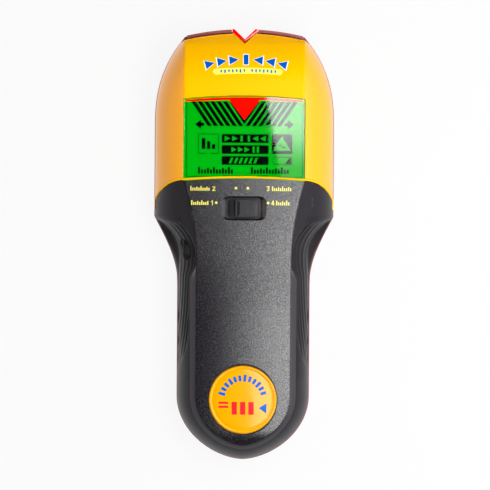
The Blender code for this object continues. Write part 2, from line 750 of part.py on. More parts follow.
def make_notch_lens():
    """V-shaped red lens that lines the marking notch from the back to the front edge."""
    slope = (top_edge(NOTCH_HALF, END_Y) - NOTCH_Y) / NOTCH_HALF
    low = NOTCH_Y - LENS_DEPTH
    arm_low = low + slope * LENS_HALF
    outline = [(-LENS_HALF, arm_low), (0.0, low), (LENS_HALF, arm_low), (LENS_HALF, END_Y),
               (NOTCH_HALF, END_Y), (0.0, NOTCH_Y), (-NOTCH_HALF, END_Y), (-LENS_HALF, END_Y)]
    return plate("notch_lens", outline, GAP, LENS_TOP_Z, RED_LENS)


# ---------------------------------------------------------------- display stack

def make_display():
    frame = centred_box("lcd_frame", LCD_FRAME, BLACK, SOFT_EDGE)
    combine(frame, centred_box("lcd_pocket", LCD_POCKET))
    combine(frame, centred_box("zebra_slot", ZEBRA_SLOT))
    centred_box("lcd_glass", LCD_GLASS, LCD_GREEN, 0.2)
    centred_box("backlight_panel", BACKLIGHT, WHITE, 0.2)
    centred_box("zebra_strip", ZEBRA_STRIP, RUBBER)


# ---------------------------------------------------------------- boards and their parts

def chip(name, place, size, material, bevel, base_z=None, top_z=None):
    """Component standing on a board at base_z, or hanging under one at top_z."""
    low_z = top_z - size[2] if base_z is None else base_z
    box(name, (place[0] - size[0] / 2, place[1] - size[1] / 2, low_z),
        (place[0] + size[0] / 2, place[1] + size[1] / 2, low_z + size[2]), material, bevel)


def make_boards():
    for name, side, base_z in (("main_board", MAIN_BOARD_SIDE, MAIN_BOARD_Z),
                               ("sensor_board", SENSOR_BOARD_SIDE, SENSOR_BOARD_Z)):
        outline = side + [(-x, y) for x, y in reversed(side)]
        plate(name, outline, base_z, base_z + BOARD, BOARD_GREEN)
    above_sensor = SENSOR_BOARD_Z + BOARD + GAP
    under_main = MAIN_BOARD_Z - GAP
    place, size = HEADER
    chip("board_header", place, (*size, under_main - above_sensor), BLACK, 0.3, above_sensor)
    chip("microcontroller", *MICROCONTROLLER, BLACK, 0.2, top_z=under_main)
    chip("crystal", *CRYSTAL, STEEL, 0.6, top_z=under_main)
    chip("amplifier_chip", *AMPLIFIER, BLACK, 0.2, above_sensor)
    place, radius, height = CAPACITOR
    rod("capacitor", radius, (*place, above_sensor), (*place, above_sensor + height), CELL)
    place, radius, height = BUZZER
    rod("buzzer", radius, (*place, under_main - height), (*place, under_main), BLACK, 32)
    half, low_y, high_y = LED_HOLDER
    box("led_holder", (-half, low_y, above_sensor), (half, high_y, LED_HOLDER_TOP_Z), WHITE, 0.4)
    start, end = LED_Y
    rod("pointer_led", LED_RADII[0], (0.0, start, LED_Z), (0.0, end, LED_Z), RED_LENS, 20,
        LED_RADII[1])
    inner, outer = COIL_RADII
    profile = [(outer, COIL_HEIGHT), (outer, 0.0), (inner, 0.0), (inner, COIL_HEIGHT)]
    turned("sensing_coil", profile, COPPER, TURNED_STEPS, (0.0, COIL_Y, above_sensor))


# ---------------------------------------------------------------- controls

def key_form(name, grow, start_x, end_x, material=None):
    """Pill-shaped bar along X, used for the scan button and the hole it works in."""
    outline = rounded_rectangle(BUTTON_HALF_LENGTH + grow, BUTTON_HALF_HEIGHT + grow,
                                BUTTON_HALF_HEIGHT + grow - 0.01, (0.0, 0.0), 6)
    bar = plate(name, outline, start_x, end_x, material, 40)
    stand = Matrix(((0, 0, 1), (1, 0, 0), (0, 1, 0))).to_4x4()
    middle = (start_x + end_x) / 2
    bar.matrix_world = Matrix.Translation(Vector((middle, BUTTON_Y, BUTTON_Z)) * MM) @ stand
    return bar


def make_scan_button():
    """Button with a flange that keeps it inside, and the switch that it presses."""
    thickness, half_length, half_height = FLANGE
    button = key_form("scan_button", 0.0, BUTTON_FRONT_X, FLANGE_X + thickness / 3, RUBBER)
    soften(button, BUTTON_ROUND, 2, 50.0)
    flange = box("scan_button_flange", (FLANGE_X, BUTTON_Y - half_length, BUTTON_Z - half_height),
                 (FLANGE_X + thickness, BUTTON_Y + half_length, BUTTON_Z + half_height))
    combine(button, flange, "UNION")
    start_x = FLANGE_X + thickness + GAP
    plunger_z = BUTTON_Z - PLUNGER_DROP
    rod("switch_plunger", PLUNGER_RADIUS, (start_x, BUTTON_Y, plunger_z),
        (start_x + PLUNGER_LENGTH, BUTTON_Y, plunger_z), BLACK)
    switch_x = start_x + BUTTON_TRAVEL + 0.2
    switch = box("scan_switch", (switch_x, BUTTON_Y - SWITCH_HALF, SWITCH_LOW_Z),
                 (switch_x + SWITCH_DEPTH, BUTTON_Y + SWITCH_HALF, MAIN_BOARD_Z - GAP), STEEL, 0.2)
    bore_end = start_x + PLUNGER_LENGTH + BUTTON_TRAVEL + 2 * GAP
    combine(switch, rod("plunger_bore", PLUNGER_RADIUS + GAP, (start_x - 1.0, BUTTON_Y, plunger_z),
                        (bore_end, BUTTON_Y, plunger_z)))


def make_mode_switch():
    """Knob that slides along X under the slot, with its contact on the main board."""
    half_length, half_width_y, corner = KNOB_PAD
    pad = rounded_rectangle(half_length, half_width_y, corner, (KNOB_PAD_X, SLOT_Y))
    knob = plate("mode_knob", pad, KNOB_PAD_Z - 1.0, KNOB_PAD_Z, CHARCOAL, 40)
    low, high = KNOB_SKIRT_X
    deep, shallow = KNOB_SKIRT_DEPTH
    combine(knob, box("knob_skirt", (low, SLOT_Y - KNOB_SKIRT_HALF, KNOB_PAD_Z - deep),
                      (high, SLOT_Y + KNOB_SKIRT_HALF, KNOB_PAD_Z - shallow)), "UNION")
    half_x, half_y = KNOB_RIB_HALF
    combine(knob, box("knob_rib", (KNOB_RIB_X - half_x, SLOT_Y - half_y, KNOB_PAD_Z - shallow),
                      (KNOB_RIB_X + half_x, SLOT_Y + half_y, KNOB_RIB_TOP_Z)), "UNION")
    board_top = MAIN_BOARD_Z + BOARD
    stem_z = board_top + STEM_CLEARANCE
    low, high = KNOB_STEM_X
    combine(knob, box("knob_stem", (low, SLOT_Y - KNOB_STEM_HALF, stem_z),
                      (high, SLOT_Y + KNOB_STEM_HALF, KNOB_PAD_Z - 1.4)), "UNION")
    margin_x, margin_y = CONTACT_MARGIN
    box("mode_contact",
        (low - margin_x, SLOT_Y - KNOB_STEM_HALF - margin_y, stem_z - GAP - CONTACT_THICKNESS),
        (high + margin_x, SLOT_Y + KNOB_STEM_HALF + margin_y, stem_z - GAP), COPPER)
    base_z = board_top + GAP / 3
    low, high = CONTACT_BASE_X
    box("contact_base", (low, SLOT_Y - CONTACT_BASE_HALF, base_z),
        (high, SLOT_Y + CONTACT_BASE_HALF, base_z + CONTACT_BASE_THICKNESS), BLACK)


# ---------------------------------------------------------------- badge, battery and door

def make_badge():
    """Domed disc with a raised rim, turned from its profile."""
    base = BADGE_FLOOR_Z + GAP
    edge = base + BADGE_HEIGHT
    rim_start = BADGE_RADIUS - BADGE_RIM_WIDTH
    profile = [(0.0, edge + BADGE_CROWN), (BADGE_RADIUS * 0.55, edge + BADGE_CROWN * 0.625),
               (rim_start - 0.4, edge - BADGE_RIM), (rim_start, edge + BADGE_RIM),
               (BADGE_RADIUS - 0.4, edge + BADGE_RIM), (BADGE_RADIUS, edge - BADGE_RIM),
               (BADGE_RADIUS, base), (0.0, base)]
    turned("badge", profile, BADGE_YELLOW, TURNED_STEPS, (0.0, BADGE_Y, 0.0))


def make_battery():
    width, length, height = BATTERY_SIZE
    low = (-width / 2, BATTERY_TOP_Y - length, BATTERY_Z)
    high = (width / 2, BATTERY_TOP_Y, BATTERY_Z + height)
    battery = box("battery", low, high, CELL, 1.0)
    middle_z = BATTERY_Z + height / 2
    half_x, half_z = SNAP_HALF
    snap = box("battery_snap", (-half_x, BATTERY_TOP_Y + GAP, middle_z - half_z),
               (half_x, BATTERY_TOP_Y + SNAP_THICKNESS, middle_z + half_z), BLACK, 0.8)
    for number, x in enumerate((-STUD_X, STUD_X)):
        start = (x, BATTERY_TOP_Y - 1.0, middle_z)
        stud_end = (x, BATTERY_TOP_Y + STUD_HEIGHT, middle_z)
        cup_end = (x, BATTERY_TOP_Y + STUD_HEIGHT + 2 * GAP, middle_z)
        stud = rod(f"battery_stud_{number}", STUD_RADIUS, start, stud_end, segments=16)
        combine(battery, stud, "UNION")
        cup = rod(f"snap_cup_{number}", STUD_RADIUS + GAP + 0.1, start, cup_end, segments=16)
        combine(snap, cup)
    for name, x, material in (("battery_lead_black", -LEAD_X, BLACK_WIRE),
                              ("battery_lead_red", LEAD_X, RED_WIRE)):
        make_lead(name, x, middle_z + LEAD_RISE, material)


def make_lead(name, x, start_z, material):
    """Wire from the battery snap up to the underside of the main board."""
    start = Vector((x, BATTERY_TOP_Y + SNAP_THICKNESS + GAP, start_z))
    end = Vector((x * 0.7, LEAD_END_Y, MAIN_BOARD_Z - GAP))
    bend = Vector((x, start.y + 6.5, start_z + 0.5))
    rise = Vector((end.x, end.y, end.z - 7.0))
    curve = bpy.data.curves.new(name, "CURVE")
    curve.dimensions = "3D"
    curve.bevel_depth = LEAD_RADIUS * MM
    curve.bevel_resolution = 2
    curve.use_fill_caps = True
    spline = curve.splines.new("POLY")
    spline.points.add(LEAD_POINTS - 1)
    for step, point in enumerate(spline.points):
        t = step / (LEAD_POINTS - 1)
        place = (start * (1 - t) ** 3 + bend * 3 * t * (1 - t) ** 2 + rise * 3 * t * t * (1 - t)
                 + end * t ** 3)
        point.co = (*(place * MM), 1.0)
    curve.materials.append(material)
    PARTS.objects.link(bpy.data.objects.new(name, curve))


def make_battery_door():
    """Door in the back, turning about X at its lower end, with a snap tab at its upper end."""
    low_y = DOOR_LOW_Y + GAP
    high_y = DOOR_TOP_Y - GAP
    door = box("battery_door", (-DOOR_HALF + GAP, low_y, GAP),
               (DOOR_HALF - GAP, high_y, GAP + DOOR_THICKNESS), MAROON)
    for number in range(DOOR_GROOVES):
        y = high_y - 7.0 + DOOR_GROOVE_PITCH * number
        groove = box(f"door_grip_{number}", (-DOOR_GROOVE_HALF, y, 0.0),
                     (DOOR_GROOVE_HALF, y + DOOR_GROOVE_PITCH / 2, GAP + DOOR_GROOVE_DEPTH))
        combine(door, groove)
    tab_y = high_y - GAP
    tab = box("door_tab", (-DOOR_TAB_HALF, tab_y - DOOR_TAB_THICKNESS, GAP + 1.0),
              (DOOR_TAB_HALF, tab_y, FLOOR + 3.0))
    combine(door, tab, "UNION")
    box("battery_pad", (-PAD_HALF, PAD_Y[0], GAP * 2 + DOOR_THICKNESS),
        (PAD_HALF, PAD_Y[1], BATTERY_Z - GAP), FOAM)


# ---------------------------------------------------------------- fasteners

def make_screw(number, x, y):
    """Screw with a pan head sunk in the back and a cross recess."""
    base = SCREW_SUNK
    tip = SCREW_LENGTH + base
    neck = base + SCREW_HEAD_HEIGHT
    profile = [(0.0, tip), (SCREW_RADIUS * 0.4, tip), (SCREW_RADIUS, tip - 1.5),
               (SCREW_RADIUS, neck), (SCREW_HEAD_RADIUS, neck), (SCREW_HEAD_RADIUS, base + 0.7),
               (SCREW_HEAD_RADIUS - 0.6, base), (0.0, base)]
    screw = turned(f"housing_screw_{number}", profile, STEEL, 16, (x, y, 0.0))
    for axis in range(2):
        half_x, half_y = SCREW_CROSS[axis], SCREW_CROSS[1 - axis]
        combine(screw, box(f"recess_{number}_{axis}", (x - half_x, y - half_y, base - 1.0),
                           (x + half_x, y + half_y, base + 1.0)))


def main():
    notch = plate("notch_cut", notch_outline(GAP), -1.0, ABOVE_ALL)
    posts = screw_bosses()
    make_head_cover(posts, notch)
    make_grip_housing(posts)
    make_rear_housing(notch)
    make_window()
    make_pointer_guide()
    make_notch_lens()
    make_display()
    make_boards()
    make_scan_button()
    make_mode_switch()
    make_badge()
    make_battery()
    make_battery_door()
    for number, (x, y) in enumerate(SCREW_PLACES, start=1):
        make_screw(number, x, y)


main()
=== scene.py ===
import json
import math

import bmesh
import bpy
from mathutils import Matrix, Vector

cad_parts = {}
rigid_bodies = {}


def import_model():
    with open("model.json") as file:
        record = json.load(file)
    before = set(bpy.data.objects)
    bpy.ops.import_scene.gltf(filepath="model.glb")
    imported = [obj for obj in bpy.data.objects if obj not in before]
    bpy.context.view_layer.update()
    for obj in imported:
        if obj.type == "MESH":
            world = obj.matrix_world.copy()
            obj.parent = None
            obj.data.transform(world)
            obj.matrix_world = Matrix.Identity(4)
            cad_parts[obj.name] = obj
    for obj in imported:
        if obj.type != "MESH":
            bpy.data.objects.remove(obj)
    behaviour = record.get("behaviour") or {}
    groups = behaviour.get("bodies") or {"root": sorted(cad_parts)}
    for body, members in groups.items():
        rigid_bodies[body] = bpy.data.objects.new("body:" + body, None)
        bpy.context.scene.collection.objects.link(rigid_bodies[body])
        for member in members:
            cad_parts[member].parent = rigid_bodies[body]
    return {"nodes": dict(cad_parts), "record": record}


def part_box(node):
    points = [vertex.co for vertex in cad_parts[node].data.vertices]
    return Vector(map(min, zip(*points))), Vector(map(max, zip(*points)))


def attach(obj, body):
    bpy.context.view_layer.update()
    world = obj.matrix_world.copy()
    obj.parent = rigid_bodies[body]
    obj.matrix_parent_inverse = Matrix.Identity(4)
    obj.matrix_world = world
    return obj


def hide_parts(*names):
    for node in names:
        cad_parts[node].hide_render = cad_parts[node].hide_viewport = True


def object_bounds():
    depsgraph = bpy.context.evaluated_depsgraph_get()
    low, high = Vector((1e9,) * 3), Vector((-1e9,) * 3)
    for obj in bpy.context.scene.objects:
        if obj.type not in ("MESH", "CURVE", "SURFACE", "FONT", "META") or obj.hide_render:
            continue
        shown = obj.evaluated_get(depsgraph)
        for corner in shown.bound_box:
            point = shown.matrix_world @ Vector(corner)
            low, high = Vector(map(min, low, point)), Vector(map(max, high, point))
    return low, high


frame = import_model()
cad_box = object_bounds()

# Sizes are millimetres in the frame of the CAD model; MM turns them into metres.
MM = 0.001
RECORD = frame["record"]


def box_mm(node):
    low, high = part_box(node)
    return [value / MM for value in low], [value / MM for value in high]


CASE_HIGH = [value / MM for value in cad_box[1]]

# The case's form, the same as the CAD model's
END_Y = CASE_HIGH[1]
HEAD_HALF = CASE_HIGH[0]
HANDLE_HALF = 28.6
SHOULDER_START_Y = 50.0
SHOULDER_PULL = 13.2
SHOULDER_POWER = 2.6
WAIST_TOP_Y = 12.0
WAIST_END_Y = -16.0
ROUND_START_Y = -65.0
ROUND_LENGTH = END_Y + ROUND_START_Y
ROUND_FULLNESS = 1.16
TOP_SAG = 3.1
TOP_HALF = 26.0
COVER_TOP_Y = 90.9
CASE_STEP = 0.25
FACE_HALF_HANDLE = 20.8
FACE_HALF_HEAD = 26.1
FACE_FLARE_START_Y = -8.0
FACE_FLARE_END_Y = 26.5
FACE_END_LENGTH = 21.6
HEAD_TOP = 38.0
HANDLE_TOP = 32.8
SLOPE_LOW_Y = -40.0
SLOPE_HIGH_Y = 6.0
BROW_Y = 68.0
BROW_DROP = 12.0
HEEL_Y = -78.0
HEEL_DROP = 2.2
CROWN_HANDLE = 1.2
CROWN_HEAD = 0.5
FLANK_ANGLE = math.radians(25.0)
DISH_START_Y = -6.0
DISH_LENGTH = 17.0
DISH_GROWTH = 9.5
DISH_POWER = 2.3
DISH_RIM_Z = 15.0
DISH_RIM_HEIGHT = 5.0
WALL = 2.2
PARTING_Z = 10.0
GAP = 0.3
SEAM_SIDE_Y = 14.6
SEAM_RADIUS = 12.8
SEAM_MIDDLE_Y = 28.4
SEAM_SAG = 1.1
WINDOW_HALF = 26.2
WINDOW_TOP_Y = 64.0
WINDOW_TOP_SAG = 1.4
NOTCH_HALF = 4.55
NOTCH_Y = 88.3
LENS_HALF = 5.4
LENS_DEPTH = 1.7
LENS_TOP_Z = 25.8
SLOT_Y = 15.5
SLOT_HALF_LENGTH = 7.7
SLOT_HALF_HEIGHT = 4.5
SLOT_BEVEL = 2.0
SLOT_BEVEL_SIDE = 0.5
SLOT_CORNER = 1.4
BUTTON_Y = -2.2
BUTTON_Z = 26.2
BUTTON_HALF_LENGTH = 4.4
BUTTON_HALF_HEIGHT = 2.9
BADGE_Y = -66.7
BADGE_RADIUS = 14.6
BADGE_FLOOR_Z = 30.2
BADGE_BEAD = 2.0

# Fine detail of the grip
DISH_STEP = 0.30           # depth of the ribbed area under the band beside the crease
# The lighter band beside the crease, a painted highlight, starts below this Y.
HIGHLIGHT_BAND_TOP_Y = -9.0
BAND_WIDTH = 2.3           # plain band between the crease and the ribbed area
AREA_TURN_Y = -37.0        # the area narrows below here
AREA_TAPER = 5.5
RIB_DEPTH = 0.55
RIB_PITCH = 1.13
RIB_DRIFT = 2.2            # how far the grooves spread outwards on their way down
RIB_TURN_Y = -11.0
FIRST_RIB = 3.1
RIB_FADE_Y = -34.0
RIB_END_Y = -58.0
RIB_REACH = 0.8            # the matt area stops this far inside the outline

# Material slots of the skins; the top face has slot 0
FLANK_SLOT = 1
RIBBED_SLOT = 2
# The band beside the grip's crease gets its own lighter material: a painted highlight along the crease.
HIGHLIGHT_BAND_SLOT = 3

FILLET_WIDTH = 0.5         # on each side of a crease
FILLET_DROP = 0.16
EDGE_ROUND = 0.7

# Lip of yellow along the seam, outside the head cover's edge
LIP_SHIFT = 0.35
LIP_INSET = 0.2
LIP_SINK = 0.12
LIP_RADIUS = 0.42

# Rear housing, and the front sheet of the display
BACK_ROUND = 1.4
RIM_BEVEL = 0.25
BUMPER_INSET = 0.02
BUMPER_DEPTH = 1.3
SHEET_HALF = 26.1
SHEET_Z = 34.9
PRINT_DEPTH = 0.04

# How far cutters reach beyond the case
REACH = 60.0
ABOVE = 60.0
BELOW = -5.0

# Steps along Y, levels of a flank and steps across the face
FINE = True
HEAD_DETAIL = (1.0, 34, 40) if FINE else (3.0, 10, 14)
GRIP_DETAIL = (0.8, 72, 40) if FINE else (3.0, 12, 12)
HOLLOW_DETAIL = (3.0, 10, 12)

PARTS = bpy.data.collections.new("stud_finder_looks")
TOOLS = bpy.data.collections.new("shaping_tools")
bpy.context.scene.collection.children.link(PARTS)
bpy.context.scene.collection.children.link(TOOLS)


# ---------------------------------------------------------------- form of the case

def ease(value):
    value = min(max(value, 0.0), 1.0)
    return value * value * (3.0 - 2.0 * value)


def smooth_min(first, second, width):
    blend = max(width - abs(first - second), 0.0) / width
    return min(first, second) - blend * blend * width * 0.25


def half_width(y):
    """Half of the case's width, along its length."""
    if y > SHOULDER_START_Y:
        return HEAD_HALF - SHOULDER_PULL * ((y - SHOULDER_START_Y) / 40.0) ** SHOULDER_POWER
    if y > WAIST_TOP_Y:
        return HEAD_HALF
    if y > WAIST_END_Y:
        along = (y - WAIST_END_Y) / (WAIST_TOP_Y - WAIST_END_Y)
        return HANDLE_HALF + (HEAD_HALF - HANDLE_HALF) * (1.5 * along ** 2 - 0.5 * along ** 3)
    return HANDLE_HALF


def face_half_width(y):
    """Half of the flat face's width, between the two creases."""
    along = (y - FACE_FLARE_START_Y) / (FACE_FLARE_END_Y - FACE_FLARE_START_Y)
    return FACE_HALF_HANDLE + (FACE_HALF_HEAD - FACE_HALF_HANDLE) * min(max(along, 0.0), 1.0) ** 2


def face_height(x, y):
    """Height of the slightly crowned face, which drops at the brow and the heel."""
    rise = ease((y - SLOPE_LOW_Y) / (SLOPE_HIGH_Y - SLOPE_LOW_Y))
    middle = HANDLE_TOP + (HEAD_TOP - HANDLE_TOP) * rise
    if y > BROW_Y:
        middle -= BROW_DROP * ((y - BROW_Y) / (COVER_TOP_Y - BROW_Y)) ** 2.2
    if y < HEEL_Y:
        middle -= HEEL_DROP * ((HEEL_Y - y) / (HEEL_Y - ROUND_START_Y + FACE_END_LENGTH)) ** 2
    crown = CROWN_HANDLE + (CROWN_HEAD - CROWN_HANDLE) * rise
    return middle - crown * (x / face_half_width(y)) ** 2


def top_edge(x, middle_y):
    """Y of the curved edge at the notch end."""
    return middle_y - TOP_SAG * (x / TOP_HALF) ** 2


def flank_fraction(height):
    """How far out a flank lies, from 0 at the crease to 1, for a height from 1 at the crease to 0."""
    angle = math.acos(min(height * math.cos(FLANK_ANGLE), 1.0))
    return (math.sin(angle) - math.sin(FLANK_ANGLE)) / (1.0 - math.sin(FLANK_ANGLE))


def skin_height(x, y):
    """Height of the case's skin over a plan point of the head, on the face or on a flank."""
    crease = face_half_width(y)
    if abs(x) <= crease:
        return face_height(x, y)
    fraction = min((abs(x) - crease) / (half_width(y) - CASE_STEP - crease), 1.0)
    angle = math.asin(fraction * (1.0 - math.sin(FLANK_ANGLE)) + math.sin(FLANK_ANGLE))
    height = math.cos(angle) / math.cos(FLANK_ANGLE)
    return PARTING_Z + (face_height(crease, y) - PARTING_Z) * height


def dish_half_width(y, z):
    """Half of the width that the thumb dishes leave."""
    height = min(max((z - PARTING_Z) / (HANDLE_TOP - PARTING_Z), 0.0), 1.0)
    half = FACE_HALF_HANDLE + (HANDLE_HALF - FACE_HALF_HANDLE) * flank_fraction(height)
    growth = DISH_GROWTH * (max(y - DISH_START_Y, 0.0) / DISH_LENGTH) ** DISH_POWER
    rim = (half_width(y) - HANDLE_HALF) * ease((DISH_RIM_Z - z) / DISH_RIM_HEIGHT)
    return half + growth + rim


def rib_depth(y, height, carved):
    """How deep the ribbed grip area lies under the plain flank, with grooves that follow the dish."""
    out = (HANDLE_HALF - FACE_HALF_HANDLE) * flank_fraction(height)
    below = max(RIB_TURN_Y - y, 0.0)
    edge = BAND_WIDTH + AREA_TAPER * (max(AREA_TURN_Y - y, 0.0) / 18.0) ** 1.5
    area = ease((out - edge) / 0.35) * ease((y - RIB_END_Y) / 10.0)
    area *= max(ease((carved - 0.1) / 0.5), ease((DISH_START_Y - y) / 3.0))
    area *= ease((height - 0.10) / 0.06)
    phase = (out - RIB_DRIFT * (below / 32.0) ** 2) / RIB_PITCH
    wave = 0.5 + 0.5 * math.cos(2.0 * math.pi * phase)
    ribs = ease((y - RIB_END_Y) / (RIB_FADE_Y - RIB_END_Y))
    ribs *= ease((out + 0.25 * max(y - DISH_START_Y, 0.0) - FIRST_RIB) / 0.5)
    return area * (DISH_STEP + ribs * RIB_DEPTH * wave ** 2.5)


def crease_fillet(distance):
    """How far the skin is lowered near a crease, which rounds it."""
    return FILLET_DROP * max(1.0 - distance / FILLET_WIDTH, 0.0) ** 2


def case_surface(name, inset, low_y, high_y, step, levels, top_steps, ribbed=None):
    """Closed loft of the front half of the case. ribbed is None for a plain hollow, and False or
    True for a finely stepped skin with rounded creases, without or with the grip's ribs."""
    round_steps = max(6, int(45.0 / max(step * 2.0, 1.0)))
    stations = []
    if low_y < ROUND_START_Y:
        for index in range(round_steps):
            angle = math.radians(90.0) * index / round_steps
            reach = math.sin(angle) ** ROUND_FULLNESS
            stations.append(((HANDLE_HALF * reach, ROUND_START_Y - ROUND_LENGTH * math.cos(angle)),
                             (FACE_HALF_HANDLE * reach,
                              ROUND_START_Y - FACE_END_LENGTH * math.cos(angle))))
    start = max(low_y, ROUND_START_Y)
    count = max(2, int((high_y - start) / step))
    for index in range(count + 1):
        y = start + (high_y - start) * index / count
        y -= TOP_SAG * ease((y - BROW_Y) / (COVER_TOP_Y - BROW_Y))
        stations.append(((half_width(y), y), (face_half_width(y), y)))
    heights = [1.0 - index / levels for index in range(levels + 1)]
    columns = [1.0 - 2.0 * index / top_steps for index in range(top_steps + 1)]
    if ribbed is not None:
        low_levels = levels // 5
        spread = [0.0, 0.005, 0.012, 0.02, 0.03]
        spread += [0.03 + 0.87 * level / levels for level in range(1, levels + 1)]
        sines = [math.sin(FLANK_ANGLE) + (1.0 - math.sin(FLANK_ANGLE)) * share for share in spread]
        heights = [math.sqrt(1.0 - sine * sine) / math.cos(FLANK_ANGLE) for sine in sines]
        last = heights[-1]
        heights += [last * (1.0 - level / low_levels) for level in range(1, low_levels + 1)]
        near = [0.99, 0.98, 0.97, 0.955]
        inside = [c for c in columns if abs(c) < 0.94]
        columns = [1.0] + near + inside + [-c for c in reversed(near)] + [-1.0]
        top_steps = len(columns) - 1
    closed_top = high_y >= COVER_TOP_Y
    top_y = COVER_TOP_Y - inset

    def shrink(point):
        x, y = point
        pull = inset + CASE_STEP
        if y < ROUND_START_Y:
            radius = math.hypot(x, y - ROUND_START_Y)
            scale = (radius - pull) / radius
            return (x * scale, ROUND_START_Y + (y - ROUND_START_Y) * scale)
        return (x - pull, min(y, top_edge(x, top_y)))

    def flank_point(outer, inner, height, side):
        crease_z = face_height(*inner) - inset
        z = PARTING_Z + (crease_z - PARTING_Z) * height
        fraction = flank_fraction(height)
        x = inner[0] + (outer[0] - inner[0]) * fraction
        y = inner[1] + (outer[1] - inner[1]) * fraction
        if RIB_END_Y < y < WAIST_TOP_Y:
            dish = dish_half_width(y, z) - inset - CASE_STEP
            carved = x - dish
            if y > WAIST_END_Y:
                soft = 0.8 * ease((y - DISH_START_Y + 2.0) / 5.0)
                cut = smooth_min(x, dish, soft) if ribbed and soft > 0.01 else min(x, dish)
                x += (cut - x) * ease((y - WAIST_END_Y) / 7.0)
            if ribbed:
                x -= rib_depth(y, height, carved)
        if ribbed is not None:
            z -= crease_fillet(math.hypot(x - inner[0], y - inner[1]))
        return (side * x, y, z)

    def edge_point(x, y, height):
        """Point of the curved top edge's wall, with a rounded corner against the face."""
        top_z = face_height(x, y) - inset
        z = PARTING_Z + (top_z - PARTING_Z) * height
        x *= 1.0 + 0.02 * (1.0 - height)
        y += 0.1 * (1.0 - height)
        below = EDGE_ROUND - (top_z - z)
        if ribbed is not None and below > 0.0:
            y -= EDGE_ROUND - math.sqrt(max(EDGE_ROUND ** 2 - below ** 2, 0.0))
        return (x, y, z)

    form = bmesh.new()
    pairs = [(shrink(outer), shrink(inner)) for outer, inner in stations]
    if closed_top:
        corner_x = face_half_width(top_y) - inset - CASE_STEP
        corner_y = top_edge(corner_x, top_y)
        edge = [(corner_x * column, top_edge(corner_x * column, top_y)) for column in columns]
        pairs = [pair for pair in pairs if pair[1][1] < corner_y - 0.4 * step]
    handle_flank = HANDLE_HALF - FACE_HALF_HANDLE
    # Which flank levels lie in the band beside the crease, which gets the painted highlight's lighter
    # material.
    highlight_band_here = [handle_flank * flank_fraction(height) < BAND_WIDTH for height in heights[1:]]
    rings = []
    ribs_here = []
    for height in heights:
        ring = [flank_point(outer, inner, height, 1.0) for outer, inner in pairs]
        if closed_top:
            ring += [edge_point(x, y, height) for x, y in edge]
        else:
            last = ring[-1]
            ring += [(last[0] * column, last[1], last[2]) for column in columns[1:-1]]
        left = pairs[1:] if low_y < ROUND_START_Y else pairs
        ring += [flank_point(outer, inner, height, -1.0) for outer, inner in reversed(left)]
        rings.append([form.verts.new(Vector(point) * MM) for point in ring])
        rib_walls = []
        for x, y, z in ring:
            rib_walls.append(RIB_END_Y < y < WAIST_TOP_Y
                             and handle_flank * flank_fraction(height) > BAND_WIDTH
                             and (y < DISH_START_Y or abs(x) < half_width(y) - RIB_REACH))
        ribs_here.append(rib_walls)
    if ribbed is None:
        below = (PARTING_Z - 2.0) * MM
        rings.append([form.verts.new((vert.co.x, vert.co.y, below)) for vert in rings[-1]])
    count = len(rings[0])
    for level, (upper, lower) in enumerate(zip(rings, rings[1:])):
        for index in range(count):
            after = (index + 1) % count
            wall = form.faces.new((upper[index], lower[index], lower[after], upper[after]))
            if ribbed and ribs_here[level][index]:
                wall.material_index = RIBBED_SLOT
            # Faces of the band below its top get the lighter material: a painted highlight.
            elif ribbed and upper[index].co.y < HIGHLIGHT_BAND_TOP_Y * MM and highlight_band_here[level]:
                wall.material_index = HIGHLIGHT_BAND_SLOT
            else:
                wall.material_index = FLANK_SLOT
    form.faces.new(list(reversed(rings[-1])))
    face = rings[0]
    side_count = len(pairs)
    rounded = low_y < ROUND_START_Y
    rows = []
    for index in range(1 if rounded else 0, side_count if closed_top else side_count - 1):
        first = face[index]
        last = face[count - index - (0 if rounded else 1)]
        row = [first]
        for column in columns[1:-1]:
            x = first.co.x * column
            z = face_height(x / MM, first.co.y / MM) - inset
            if ribbed is not None:
                z -= crease_fillet((abs(first.co.x) - abs(x)) / MM)
            row.append(form.verts.new((x, first.co.y, z * MM)))
        rows.append(row + [last])
    top_start = side_count if closed_top else side_count - 1
    rows.append(face[top_start:top_start + top_steps + 1])
    if not closed_top:
        for vert in rows[-1][1:-1]:
            vert.co.z = (face_height(vert.co.x / MM, vert.co.y / MM) - inset) * MM
    for index in range(top_steps):
        if rounded:
            form.faces.new((face[0], rows[0][index], rows[0][index + 1]))
        for near, far in zip(rows, rows[1:]):
            form.faces.new((near[index], far[index], far[index + 1], near[index + 1]))
    if not rounded:
        bmesh.ops.holes_fill(form, edges=[e for e in form.edges if e.is_boundary])
    bmesh.ops.recalc_face_normals(form, faces=form.faces)
    return to_mesh(name, form)


# ---------------------------------------------------------------- building blocks

def link(name, mesh, materials, body="root", smooth_angle=None):
    """A piece of the visible model, riding on its body."""
    piece = bpy.data.objects.new(name, mesh)
    PARTS.objects.link(piece)
    for material in materials:
        mesh.materials.append(material)
    if smooth_angle is not None:
        mesh.shade_smooth()
        mesh.set_sharp_from_angle(angle=math.radians(smooth_angle))
    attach(piece, body)
    return piece


def tool(name, mesh):
    """A hidden helper for shaping."""
    made = bpy.data.objects.new(name, mesh)
    TOOLS.objects.link(made)
    return made


def cut(name, mesh):
    return tool(name, mesh), "DIFFERENCE"


def add(name, mesh):
    return tool(name, mesh), "UNION"


